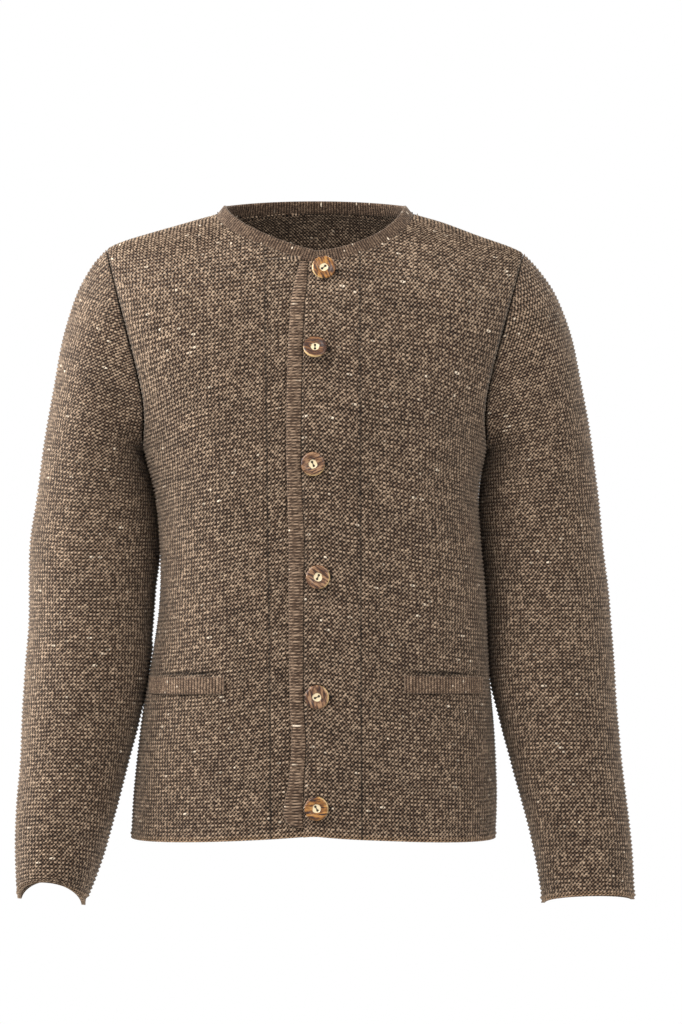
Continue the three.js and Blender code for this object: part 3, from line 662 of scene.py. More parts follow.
@dataclass
class Sleeve:
    """A set-in sleeve whose courses cross it squarely and end at the armhole over the cap."""

    side: Side
    armhole: Armhole
    # in x, in z, out x, out z, middle, half depth: the ends of each section and its depth
    sections: Sequence[tuple[float, ...]]
    cuff_arch: tuple[float, float]  # how far the cuff's front and back are pushed up
    # height on the middle line, how steeply courses rise outwards, how they tip forward
    lean: tuple[tuple[float, float, float], ...] = (
        (-740, 0.0, 0.16),
        (-520, 0.0, 0.13),
        (-430, 0.0, 0.05),
        (-360, 0.03, 0.0),
        (-310, 0.08, 0.0),
        (-270, 0.13, 0.0),
        (-225, 0.2, 0.0),
        (-185, 0.29, 0.0),
        (-145, 0.39, 0.0),
        (-105, 0.46, 0.0),
        (-60, 0.48, 0.0),
        (0, 0.48, 0.0),
    )
    # top, bottom, how far: where the sleeve is pressed on to the body's side
    touches: Sequence[tuple[float, float, float]] = ((-244, -490, 1.9),)
    fan_rings: int = 5
    arch_height: float = 110.0  # how far above the cuff its arch is still felt
    columns: int = 74
    creases: Sequence[Crease] = ()
    relief: KnitRelief = field(default_factory=KnitRelief)
    wander: float = 0.7  # how far a course strays up and down
    softness: float = 0.8  # how far the cloth swells in and out
    seam_shift: float = 0.35  # how far the cap stands out from the armhole's own line
    middle_out: float = 235.0  # how far out the sleeve's middle line lies

    def section_points(self, level: np.ndarray, turn: np.ndarray, shrink: float) -> np.ndarray:
        """Points of the sleeve's sections at levels along the table and turns round the arm."""
        places = np.arange(len(self.sections))
        in_x, in_z, out_x, out_z, mid, deep = (
            smooth_column(places, [row[k] for row in self.sections])(level) for k in range(6)
        )
        along_x, along_z = self.side.value * (out_x - in_x), out_z - in_z
        length = np.hypot(along_x, along_z)
        reach = -(length / 2 - shrink) * np.cos(turn) / length
        x = self.side.value * (in_x + out_x) / 2 + along_x * reach
        z = (in_z + out_z) / 2 + along_z * reach
        return np.stack([x, mid - (deep - shrink) * np.sin(turn), z], axis=-1)

    def surface(self, levels: np.ndarray, turns: np.ndarray, shrink: float) -> np.ndarray:
        """The sleeve's surface over a table of levels and turns."""
        ring = self.armhole.ring(self.side, (len(turns) - 1) // 2)
        gap = np.stack(
            [
                np.full_like(turns, self.side.value * self.seam_shift),
                0 * turns,
                SEAM_GAP * (0.5 + 0.5 * np.cos(turns)),
            ],
            axis=1,
        )
        departure = ring + gap - self.section_points(np.zeros_like(turns), turns, 0.0)
        level, turn = np.meshgrid(levels, turns, indexing="ij")
        points = self.section_points(level, turn, shrink)
        keep = np.clip((self.fan_rings - level) / self.fan_rings, 0, 1) ** 1.6
        points = points + keep[..., None] * departure
        out_z = smooth_column(np.arange(len(self.sections)), [row[3] for row in self.sections])(level)
        arch = np.clip(1 - (out_z - self.sections[-1][3]) / self.arch_height, 0, 1) ** 2
        push = np.where(np.sin(turn) > 0, *self.cuff_arch)
        points[..., 2] += push * arch * np.abs(np.sin(turn))
        return points

    def course_height(self, points: np.ndarray, levels: np.ndarray) -> np.ndarray:
        """The height, on the sleeve's middle line, of the course through each point."""
        x, z = np.abs(points[..., 0]), points[..., 2]
        places = np.arange(len(self.sections))
        forward = points[..., 1] - smooth_column(places, [row[4] for row in self.sections])(levels)[:, None]
        rise = smooth_column([row[0] for row in self.lean], [row[1] for row in self.lean])
        tip = smooth_column([row[0] for row in self.lean], [row[2] for row in self.lean])
        height = z.copy()
        for _ in range(12):
            across = rise(height) * (x - self.middle_out)
            height = 0.5 * height + 0.5 * (z - across + tip(height) * forward)
        return height

    def grid(self) -> ClothGrid:
        """The sleeve's wall, its first and last columns meeting along the underarm."""
        turns = np.linspace(0, 2 * np.pi, 193)
        levels = np.linspace(0, len(self.sections) - 1, 520)
        outer, inner = self.surface(levels, turns, 0.0), self.surface(levels, turns, WALL)
        height = self.course_height(outer, levels)
        middle = len(turns) // 2
        last = height[-1, :].copy()
        # near the cuff the courses settle to the cuff's own edge
        cuff = np.clip((levels - (len(self.sections) - 8)) / 7, 0, 1)[:, None] ** 1.5
        height = height * (1 - cuff) + (height - last[None, :] + last.mean()) * cuff
        rim = outer[::-1, middle]
        up_rim = run_length(rim)
        up = np.interp(height, height[::-1, middle], up_rim)
        dv = COURSE / ROWS_PER_COURSE
        rows_out, rows_in, cloth, seams = [], [], [], []
        for row in range(int(up[0, middle] / dv) + 1):
            want = row * dv
            open_at = up[0] >= want
            level = np.array([np.interp(want, up[::-1, k], levels[::-1]) for k in range(len(turns))])
            valid = np.nonzero(open_at)[0]
            if len(valid) < 2:
                continue
            first, end = valid[0], valid[-1]
            start_turn, end_turn = turns[first], turns[end]
            if first > 0:
                part = (up[0, first] - want) / (up[0, first] - up[0, first - 1])
                start_turn -= (turns[first] - turns[first - 1]) * part
            if end < len(turns) - 1:
                part = (up[0, end] - want) / (up[0, end] - up[0, end + 1])
                end_turn += (turns[end + 1] - turns[end]) * part
            fine = np.linspace(start_turn, end_turn, 220)
            at = np.interp(fine, turns, level)
            line = self.read_surface(outer, levels, turns, at, fine)
            reached = run_length(line)
            even = np.interp(np.linspace(0, reached[-1], self.columns + 1), reached, fine)
            even_at = np.interp(even, turns, level)
            rows_out.append(self.read_surface(outer, levels, turns, even_at, even))
            rows_in.append(self.read_surface(inner, levels, turns, even_at, even))
            along = np.interp(even, fine, reached)
            centre = float(np.interp(np.pi, fine, reached))
            u = self.side.value * (along - centre)
            cloth.append(np.stack([u, np.full_like(u, want)], axis=1))
            closed = first == 0 and end == len(turns) - 1
            seams.append(np.minimum(along, reached[-1] - along) + 30 * closed)
        return self.finished(np.array(rows_out), np.array(rows_in), np.array(cloth), np.array(seams))

    @staticmethod
    def read_surface(
        table: np.ndarray, levels: np.ndarray, turns: np.ndarray, level: np.ndarray, turn: np.ndarray
    ) -> np.ndarray:
        """Points of a table of points between its own levels and turns."""
        a = np.clip(np.interp(level, levels, np.arange(len(levels))), 0, len(levels) - 1.001)
        b = np.clip(np.interp(turn, turns, np.arange(len(turns))), 0, len(turns) - 1.001)
        i, j = a.astype(int), b.astype(int)
        s, t = (a - i)[:, None], (b - j)[:, None]
        low = table[i, j] * (1 - t) + table[i, j + 1] * t
        high = table[i + 1, j] * (1 - t) + table[i + 1, j + 1] * t
        return low * (1 - s) + high * s

    def finished(
        self, plain: np.ndarray, inner: np.ndarray, cloth: np.ndarray, from_seam: np.ndarray
    ) -> ClothGrid:
        """The wall's two faces, with creases, ridges, cuff roll and seams, and painted shade along the seams.
        """
        out = unit(plain - inner)
        u, v, z = cloth[..., 0], cloth[..., 1], plain[..., 2]
        soft = sum((-crease.depth_at(u, v) for crease in self.creases), np.zeros_like(u))
        swell = Unevenness(21 + self.side.value, 60).at(u + 500, v) * smoothstep(0, 20, from_seam)
        soft = soft + self.softness * swell
        facing_body = np.clip(-out[..., 0] * self.side.value, 0, 1) ** 3
        underarm = 1 - smoothstep(5, 24, np.abs(u).max(axis=1, keepdims=True) - np.abs(u))
        pressed = sum(
            depth * smoothstep(low - 24, low + 24, z) * (1 - smoothstep(high - 7, high + 7, z))
            for high, low, depth in self.touches
        )
        drift = self.wander * Unevenness(31 + self.side.value, 34).at(u + 500, v) * smoothstep(8, 30, v)
        drift = drift * smoothstep(0, 10, from_seam)
        moved = np.zeros_like(plain)
        moved[..., 0] = -self.side.value * pressed * np.maximum(facing_body, underarm)
        moved[..., 2] = drift
        plain, inner = plain + moved + out * soft[..., None], inner + moved + out * soft[..., None]
        relief = self.relief.at(v, from_seam)
        # painted shade along the seams
        return ClothGrid(plain + out * relief[..., None], inner, cloth, self.relief.painted_shade_at(from_seam))


# ---------------------------------------------------------------- ribbed strips


@dataclass(frozen=True)
class RibbedStrip:
    """A narrow ribbed strip: ribs run across it, and its long edges are rounded."""

    thickness: float
    rib_pitch: float
    rib: float
    dome: float = 0.0  # how much further the middle of its face stands out
    steps_per_rib: int = 6
    round_steps: int = 4

    def section(self, foot: np.ndarray, top: np.ndarray, out: np.ndarray, rib: float) -> np.ndarray:
        """One closed loop of points round the strip.

        Args:
            foot: the strip's lower edge on its outer face.
            top: its upper edge.
            out: the outward direction.
            rib: how far the rib stands out here.

        Returns:
            The loop, its first point repeated at its end.
        """
        up = top - foot
        height = np.linalg.norm(up)
        up = up / height
        half = self.thickness / 2
        centre_foot, centre_top = foot - out * half + up * half, top - out * half - up * half
        loop = []
        for share in np.linspace(0, 1, 7):
            swell = half + rib + self.dome * math.sin(math.pi * share)
            loop.append(centre_foot + (centre_top - centre_foot) * share + out * swell)
        for turn in np.linspace(0, np.pi, self.round_steps + 1)[1:-1]:
            swell = half + rib * abs(math.cos(turn))
            loop.append(centre_top + out * swell * math.cos(turn) + up * half * math.sin(turn))
        for share in np.linspace(1, 0, 5):
            loop.append(centre_foot + (centre_top - centre_foot) * share - out * (half + rib))
        for turn in np.linspace(np.pi, 2 * np.pi, self.round_steps + 1)[1:-1]:
            swell = half + rib * abs(math.cos(turn))
            loop.append(centre_foot + out * swell * math.cos(turn) + up * half * math.sin(turn))
        return np.array([*loop, loop[0]])

    def mesh(
        self, feet: np.ndarray, tops: np.ndarray, outs: np.ndarray, reached: np.ndarray
    ) -> bmesh.types.BMesh:
        """The whole strip from its edges, outward directions and distances along it."""
        ribs = self.rib * (0.5 + 0.5 * np.cos(2 * np.pi * reached / self.rib_pitch)) ** 0.7
        loops = np.array([self.section(*parts) for parts in zip(feet, tops, outs, ribs)])
        round_it = np.concatenate([[0.0], np.cumsum(np.linalg.norm(np.diff(loops[0], axis=0), axis=1))])
        ribs_passed = reached / self.rib_pitch * RIB_PITCH
        cloth = np.stack(np.broadcast_arrays(round_it[None, :], ribs_passed[:, None]), axis=-1)
        return swept_mesh(loops, cloth)

    def steps(self, length: float) -> tuple[int, float]:
        """How many steps the strip takes, and its true rib pitch, for whole ribs."""
        ribs = max(round(length / self.rib_pitch), 1)
        return ribs * self.steps_per_rib, length / ribs


@dataclass(frozen=True)
class Neckband:
    """The narrow ribbed band that stands on the neckline's seam."""

    form: BodyForm
    strip: RibbedStrip = RibbedStrip(thickness=3.1, rib_pitch=3.0, rib=0.3)
    height: float = 13.0
    lead: float = -14.0
    lean: float = 0.5
    side_lean: float = 0.3
    foot_gap: float = -1.7
    under: float = 26.0

    def path(self) -> np.ndarray:
        """The seam's line, from the left front's edge round the back to the right front's edge."""
        q = np.linspace(0, 1, 160)
        turn = q ** (1 / 1.6)
        left = self.lead + (self.form.neck_half - self.lead) * turn
        left_line = self.form.points(left, self.form.neckline_z(left, Face.FRONT), Face.FRONT, True)
        x = self.form.neck_half * np.cos(np.linspace(0, np.pi, 200))
        back_line = self.form.points(x, self.form.neckline_z(x, Face.BACK), Face.BACK)
        right = -self.form.neck_half + (self.form.neck_half + self.under) * (1 - turn[::-1])
        right_line = self.form.points(right, self.form.neckline_z(right, Face.FRONT), Face.FRONT)
        return np.concatenate([left_line[:-1], back_line[1:-1], right_line])

    def build(self) -> bmesh.types.BMesh:
        """The band's mesh."""
        line = self.path()
        count, pitch = self.strip.steps(float(run_length(line)[-1]))
        seam = resample(line, count)
        for _ in range(6):  # rounds the line where front and back meet
            seam[1:-1] = 0.5 * seam[1:-1] + 0.25 * (seam[:-2] + seam[2:])
        reached = run_length(seam)
        along = unit(np.gradient(seam, axis=0))
        inward = unit(np.stack([-seam[:, 0], -seam[:, 1], 0 * seam[:, 0]], axis=1))
        at_side = (seam[:, 0] / self.form.neck_half) ** 4
        up = inward * (self.lean + self.side_lean * at_side)[:, None] + np.array([0.0, 0.0, 1.0])
        up = unit(up - along * np.sum(up * along, axis=1, keepdims=True))
        out = unit(np.cross(along, up))
        out = np.where(np.sum(out * inward, axis=1, keepdims=True) > 0, -out, out)
        feet = seam + up * self.foot_gap
        strip = replace(self.strip, rib_pitch=pitch)
        return strip.mesh(feet, seam + up * self.height, out, reached)


@dataclass(frozen=True)
class FrontBand:
    """The narrow ribbed band down the edge of the left front."""

    form: BodyForm
    strip: RibbedStrip = RibbedStrip(thickness=3.4, rib_pitch=3.0, rib=0.28, dome=0.9)
    top_z: float = -59.5
    foot_z: float = -629.5
    # height, leading edge, sewn edge
    edges: tuple[tuple[float, float, float], ...] = (
        (-630, -16, -10.5),
        (-627.5, -24, -10.5),
        (-622, -29, -10.5),
        (-612, -30.5, -10.5),
        (-583, -25.5, -9.5),
        (-548, -22.5, -7.5),
        (-502, -24.5, -10),
        (-402, -25.5, -10),
        (-342, -25.5, -9.5),
        (-262, -27.5, -12.5),
        (-174, -27, -11.5),
        (-107, -24, -9.5),
        (-89, -21.5, -7.5),
        (-56, -14, -5.5),
    )

    def seam_x(self, z: np.ndarray) -> np.ndarray:
        """Where the band is sewn to the left front, by height."""
        return smooth_column([row[0] for row in self.edges], [row[2] for row in self.edges])(z)

    def lead_x(self, z: np.ndarray) -> np.ndarray:
        """The band's free edge, by height."""
        return smooth_column([row[0] for row in self.edges], [row[1] for row in self.edges])(z)

    def build(self) -> bmesh.types.BMesh:
        """The band's mesh."""
        count, pitch = self.strip.steps(self.top_z - self.foot_z)
        z = np.linspace(self.foot_z, self.top_z, count + 1)
        lead = self.form.points(self.lead_x(z), z, Face.FRONT, True)
        seam = self.form.points(self.seam_x(z) - SEAM_GAP, z, Face.FRONT, True)
        out = np.zeros_like(lead)
        out[:, 1] = Face.FRONT.value
        strip = replace(self.strip, rib_pitch=pitch)
        return strip.mesh(lead, seam, out, z - self.foot_z)


@dataclass(frozen=True)
class Welt:
    """A ribbed pocket welt on a front panel."""

    form: BodyForm
    side: Side
    inner: float
    outer: float
    top: float
    height: float = 17.5
    droop: float = 3.0
    strip: RibbedStrip = RibbedStrip(thickness=2.4, rib_pitch=3.3, rib=0.38)

    def build(self) -> bmesh.types.BMesh:
        """The welt's mesh."""
        lapped = self.side is Side.LEFT
        out_x = np.linspace(self.inner, self.outer, 200)
        drop = self.droop * (out_x - self.inner) / (self.outer - self.inner)
        line = self.form.points(self.side.value * out_x, self.top - drop, Face.FRONT, lapped)
        count, pitch = self.strip.steps(float(run_length(line)[-1]))
        top = resample(line, count)
        foot = self.form.points(top[:, 0], top[:, 2] - self.height, Face.FRONT, lapped)
        along = unit(np.gradient(top, axis=0))
        out = unit(np.cross(along, top - foot))
        out = np.where(out[:, 1:2] > 0, -out, out)
        lift = out * (SEAM_GAP + 0.7 + self.strip.thickness)
        strip = replace(self.strip, rib_pitch=pitch)
        return strip.mesh(foot + lift, top + lift, out, run_length(top))


# ---------------------------------------------------------------- buttons


@dataclass(frozen=True)
class Buttonhole:
    """A level buttonhole's ring of real thread, worked on the left front, coloured near black as painted
    shade at the buttonhole's end.
    """

    form: BodyForm
    x: float
    z: float
    half_length: float = 12.6
    half_gap: float = 0.9
    thread_radius: float = 0.85
    lift: float = 0.7  # the ring's middle above the cloth's plain face
    arc_steps: int = 8
    side_steps: int = 14
    round_steps: int = 8

    def path(self) -> np.ndarray:
        """The ring's middle line: two level sides joined by half circles."""
        straight = self.half_length - self.half_gap
        turns = np.linspace(-np.pi / 2, np.pi / 2, self.arc_steps + 1)
        along = np.linspace(straight, -straight, self.side_steps + 1)[1:-1]
        right = np.stack([straight + self.half_gap * np.cos(turns), self.half_gap * np.sin(turns)], axis=1)
        top = np.stack([along, np.full_like(along, self.half_gap)], axis=1)
        ring = np.concatenate([right, top, -right, -top])
        ring = np.concatenate([ring, ring[:1]])
        plain = self.form.points(self.x + ring[:, 0], self.z + ring[:, 1], Face.FRONT, True)
        return plain + np.array([0, Face.FRONT.value * self.lift, 0])

    def build(self) -> bmesh.types.BMesh:
        """The thread, swept round the ring."""
        path = self.path()
        along = unit(np.gradient(path, axis=0))
        along[0] = along[-1] = unit(path[1] - path[-2])
        out = np.broadcast_to(np.array([0.0, Face.FRONT.value, 0.0]), path.shape)
        across = unit(np.cross(along, out))
        turns = np.linspace(0, 2 * np.pi, self.round_steps + 1)
        offsets = across[:, None] * np.cos(turns)[None, :, None] + out[:, None] * np.sin(turns)[None, :, None]
        sections = path[:, None] + offsets * self.thread_radius
        reached = run_length(path)
        round_it = turns * self.thread_radius
        cloth = np.stack(np.broadcast_arrays(round_it[None, :], reached[:, None]), axis=-1)
        return swept_mesh(sections, cloth)


@dataclass(frozen=True)
class HornButton:
    """A turned horn button with a dished middle and two holes, sewn on by its shank of thread."""

    name: str
    x: float
    z: float
    turn: float  # which way its two holes lie, anticlockwise from level
    tip: float  # how far it tips down
    radius: float = 12.0
    thickness: float = 4.0
    hole_radius: float = 1.15
    hole_spacing: float = 4.2
    stand_off: float = 1.7  # the thread that it stands on
    segments: int = 72

    def profile(self) -> list[tuple[float, float]]:
        """Radius and height of the turned section, from the back's middle to the front's."""
        r, t = self.radius, self.thickness
        return [
            (0.0, 0.0),
            (r * 0.55, 0.0),
            (r * 0.8, 0.12 * t),
            (r * 0.93, 0.3 * t),
            (r * 0.985, 0.46 * t),
            (r, 0.6 * t),
            (r * 0.985, 0.76 * t),
            (r * 0.94, 0.9 * t),
            (r * 0.87, 0.98 * t),
            (r * 0.79, t),
            (r * 0.7, 0.95 * t),
            (r * 0.6, 0.85 * t),
            (r * 0.5, 0.79 * t),
            (r * 0.4, 0.76 * t),
            (r * 0.36, 0.72 * t),
            (r * 0.33, 0.62 * t),
            (r * 0.28, 0.58 * t),
            (0.0, 0.58 * t),
        ]

    def disc(self) -> bmesh.types.BMesh:
        """The turned disc about +Y, its face towards +Y, with two blind holes."""
        bm = bmesh.new()
        uv = bm.loops.layers.uv.new(FACE_UV)
        verts = [bm.verts.new((r * MM, y * MM, 0)) for r, y in self.profile()]
        edges = [bm.edges.new(pair) for pair in zip(verts[:-1], verts[1:])]
        bmesh.ops.spin(
            bm, geom=[*verts, *edges], cent=(0, 0, 0), axis=(0, 1, 0), angle=2 * math.pi,
            steps=self.segments, use_merge=True, use_duplicate=False,
        )
        bmesh.ops.remove_doubles(bm, verts=bm.verts[:], dist=1e-6)
        bmesh.ops.dissolve_degenerate(bm, edges=bm.edges[:], dist=1e-7)
        bmesh.ops.recalc_face_normals(bm, faces=bm.faces[:])
        for face in bm.faces:
            for loop in face.loops:
                loop[uv].uv = (loop.vert.co.x, -loop.vert.co.z)
        return bm

    def cut_holes(self, piece: bpy.types.Object) -> None:
        """Cuts the two holes in a disc that still lies about +Y."""
        for end in (-1, 1):
            bm = bmesh.new()
            place = Matrix.Translation((end * self.hole_spacing / 2 * MM, 0.62 * self.thickness * MM, 0))
            bmesh.ops.create_cone(
                bm, cap_ends=True, segments=20, radius1=self.hole_radius * MM, radius2=self.hole_radius * MM,
                depth=self.thickness * 0.9 * MM, matrix=place @ Matrix.Rotation(math.pi / 2, 4, "X"),
            )
            mesh = bpy.data.meshes.new("drill")
            bm.to_mesh(mesh)
            bm.free()
            drill = bpy.data.objects.new("drill", mesh)
            bpy.context.scene.collection.objects.link(drill)
            cut = piece.modifiers.new("hole", "BOOLEAN")
            cut.operation, cut.solver, cut.object = "DIFFERENCE", "EXACT", drill
            bpy.context.view_layer.update()
            drilled = piece.evaluated_get(bpy.context.evaluated_depsgraph_get())
            whole = bpy.data.meshes.new_from_object(drilled)
            piece.modifiers.clear()
            piece.data = whole
            bpy.data.objects.remove(drill)
            bpy.data.meshes.remove(mesh)

    def placed(self, form: BodyForm) -> Matrix:
        """Where the disc's own frame lies on the left front."""
        x, z = np.array([self.x, self.x + 1, self.x]), np.array([self.z, self.z, self.z + 1])
        around = form.points(x, z, Face.FRONT, True)
        out = unit(np.cross(around[1] - around[0], around[2] - around[0]))
        out = -out if out[1] > 0 else out
        slant = abs(math.sin(math.radians(self.tip)))
        lift = self.stand_off + self.radius * slant
        centre = around[0] + out * lift
        y_axis = Matrix.Rotation(math.radians(self.tip), 3, "X") @ Vector(out)
        x_axis = (Vector((1, 0, 0)) - y_axis * y_axis.x).normalized()
        z_axis = x_axis.cross(y_axis)
        basis = Matrix((x_axis, y_axis, z_axis)).transposed().to_4x4()
        turned = Matrix.Rotation(math.radians(self.turn), 4, "Y")
        return Matrix.Translation(Vector(centre) * MM) @ basis @ turned


# ---------------------------------------------------------------- materials


class Nodes:
    """Adds nodes to one tree and joins them."""

    def __init__(self, tree: bpy.types.NodeTree) -> None:
        """Keeps the tree."""
        self.tree = tree

    def add(
        self, kind: str, inputs: dict[str | int, object] | None = None, **settings: object
    ) -> bpy.types.Node:
        """A new node with its settings, and its inputs set or joined."""
        node = self.tree.nodes.new(kind)
        for name, value in settings.items():
            setattr(node, name, value)
        for name, value in (inputs or {}).items():
            self.feed(node.inputs[name], value)
        return node

    def feed(self, socket: bpy.types.NodeSocket, value: object) -> None:
        """Joins a socket to another one, or sets its value."""
        if isinstance(value, bpy.types.NodeSocket):
            self.tree.links.new(value, socket)
        else:
            socket.default_value = value

    def math(self, operation: str, a: object, b: object = 0.0) -> bpy.types.NodeSocket:
        """A Math node's result."""
        return self.add("ShaderNodeMath", {0: a, 1: b}, operation=operation).outputs[0]

    def ramp(
        self, value: object, low: float, high: float, to_low: float = 0.0, to_high: float = 1.0
    ) -> bpy.types.NodeSocket:
        """A value moved smoothly from one range to another."""
        node = self.add(
            "ShaderNodeMapRange", {0: value, 1: low, 2: high, 3: to_low, 4: to_high},
            interpolation_type="SMOOTHSTEP",
        )
        return node.outputs[0]

    def mix(self, share: object, a: object, b: object) -> bpy.types.NodeSocket:
        """A colour between two colours."""
        node = self.add("ShaderNodeMix", data_type="RGBA")
        for socket, value in ((node.inputs[0], share), (node.inputs[6], a), (node.inputs[7], b)):
            self.feed(socket, value)
        return node.outputs[2]

    def noise(
        self, vector: object, scale: float, detail: float = 2.0, roughness: float = 0.5
    ) -> bpy.types.NodeSocket:
        """A noise value about one half."""
        inputs = {"Vector": vector, "Scale": scale, "Detail": detail, "Roughness": roughness}
        return self.add("ShaderNodeTexNoise", inputs, noise_dimensions="2D").outputs["Fac"]

    def scale_add(self, value: object, factor: object, addend: object) -> bpy.types.NodeSocket:
        """A value times a factor, plus another value."""
        node = self.add("ShaderNodeMath", {0: value, 1: factor, 2: addend}, operation="MULTIPLY_ADD")
        return node.outputs[0]

    def wave(self, turns: object) -> bpy.types.NodeSocket:
        """The cosine of a number of whole turns."""
        return self.math("COSINE", self.math("MULTIPLY", turns, 2 * math.pi))

    def scaled(self, vector: object, factor: tuple[float, float, float]) -> bpy.types.NodeSocket:
        """A vector with each part scaled."""
        node = self.add("ShaderNodeVectorMath", {0: vector, 1: factor}, operation="MULTIPLY")
        return node.outputs[0]

    def length(self, vector: object) -> bpy.types.NodeSocket:
        """A vector's length."""
        return self.add("ShaderNodeVectorMath", {0: vector}, operation="LENGTH").outputs["Value"]


def linear(red: float, green: float, blue: float) -> tuple[float, float, float, float]:
    """A display colour, 0 to 255 a channel, as the shader's linear colour."""

    def one(value: float) -> float:
        """One channel."""
        share = value / 255
        return share / 12.92 if share <= 0.04045 else ((share + 0.055) / 1.055) ** 2.4

    return one(red), one(green), one(blue), 1.0


def new_group(name: str, inputs: dict[str, str], outputs: dict[str, str]) -> bpy.types.NodeTree:
    """An empty shader node group with named sockets."""
    tree = bpy.data.node_groups.new(name, "ShaderNodeTree")
    for label, kind in inputs.items():
        tree.interface.new_socket(label, in_out="INPUT", socket_type=kind)
    for label, kind in outputs.items():
        tree.interface.new_socket(label, in_out="OUTPUT", socket_type=kind)
    return tree


def knit_group() -> bpy.types.NodeTree:
    """The knitted face: slanting bumps in courses with holes between them, and slubs in the yarn."""
    tree = new_group(
        "knitted face",
        {
            "Cloth": "NodeSocketVector",
            "Stitch": "NodeSocketFloat",
            "Course": "NodeSocketFloat",
            "Ribbed": "NodeSocketFloat",
        },
        {
            "Height": "NodeSocketFloat",
            "Yarn": "NodeSocketFloat",
            "Patch": "NodeSocketFloat",
            "Slub": "NodeSocketFloat",
        },
    )
    n = Nodes(tree)
    start, end = n.add("NodeGroupInput"), n.add("NodeGroupOutput")
    cloth = n.scaled(start.outputs["Cloth"], PER_METRE)
    parts = n.add("ShaderNodeSeparateXYZ", {0: cloth})
    wander = n.scale_add(n.noise(cloth, 0.07), 3.0, -1.5)
    shake = n.scale_add(n.noise(cloth, 0.3, 1.0), 1.8, -0.9)
    across = n.math("ADD", n.math("ADD", parts.outputs[0], wander), shake)
    x = n.math("DIVIDE", across, start.outputs["Stitch"])
    y = n.math("DIVIDE", n.scale_add(shake, 0.6, parts.outputs[1]), start.outputs["Course"])
    falling, rising = n.math("SUBTRACT", x, y), n.math("ADD", x, y)
    rows, columns = n.wave(y), n.wave(x)
    slants = n.scale_add(n.wave(falling), 0.52, n.math("MULTIPLY", n.wave(rising), 0.36))
    plain = n.scale_add(columns, 0.06, n.scale_add(rows, 0.24, slants))
    ribbed = n.scale_add(columns, 0.12, n.scale_add(rows, 0.5, n.math("MULTIPLY", slants, 0.2)))
    face = n.scale_add(n.math("SUBTRACT", ribbed, plain), start.outputs["Ribbed"], plain)
    fibre = n.scale_add(n.noise(n.scaled(cloth, (0.6, 1.3, 0.0)), 1.0, 3.0, 0.7), 0.5, -0.25)
    height = n.math("ADD", n.scale_add(face, 0.52, 0.45), fibre)
    bump = n.add("ShaderNodeCombineXYZ", {0: n.math("ROUND", falling), 1: n.math("ROUND", rising)})
    stitch = n.add("ShaderNodeTexWhiteNoise", {"Vector": bump.outputs[0]}, noise_dimensions="2D")
    heather = n.noise(n.scaled(cloth, (0.2, 0.55, 0.0)), 1.0, 3.0, 0.75)
    yarn = n.scale_add(stitch.outputs["Value"], 0.3, n.math("MULTIPLY", heather, 0.7))
    patch = n.noise(n.scaled(cloth, (0.018, 0.045, 0.0)), 1.0, 3.0, 0.6)
    row = n.math("ROUND", y)
    along = n.scale_add(row, 0.37, n.math("DIVIDE", parts.outputs[0], 9.0))
    cell = n.add("ShaderNodeCombineXYZ", {0: n.math("FLOOR", along), 1: row})
    chance = n.add("ShaderNodeTexWhiteNoise", {"Vector": cell.outputs[0]}, noise_dimensions="3D")
    chosen = n.ramp(chance.outputs["Value"], 0.965, 1.0)
    split = n.add("ShaderNodeSeparateColor", {0: chance.outputs["Color"]})
    centre, half = n.scale_add(split.outputs[0], 0.4, 0.3), n.scale_add(split.outputs[1], 0.26, 0.12)
    away_x = n.math("DIVIDE", n.math("SUBTRACT", n.math("FRACT", along), centre), half)
    away_y = n.math("DIVIDE", n.math("SUBTRACT", y, row), 0.3)
    away = n.math("ADD", n.math("MULTIPLY", away_x, away_x), n.math("MULTIPLY", away_y, away_y))
    slub = n.math("MULTIPLY", chosen, n.ramp(away, 1.25, 0.4))
    for label, value in (("Height", height), ("Yarn", yarn), ("Patch", patch), ("Slub", slub)):
        n.feed(end.inputs[label], value)
    return tree


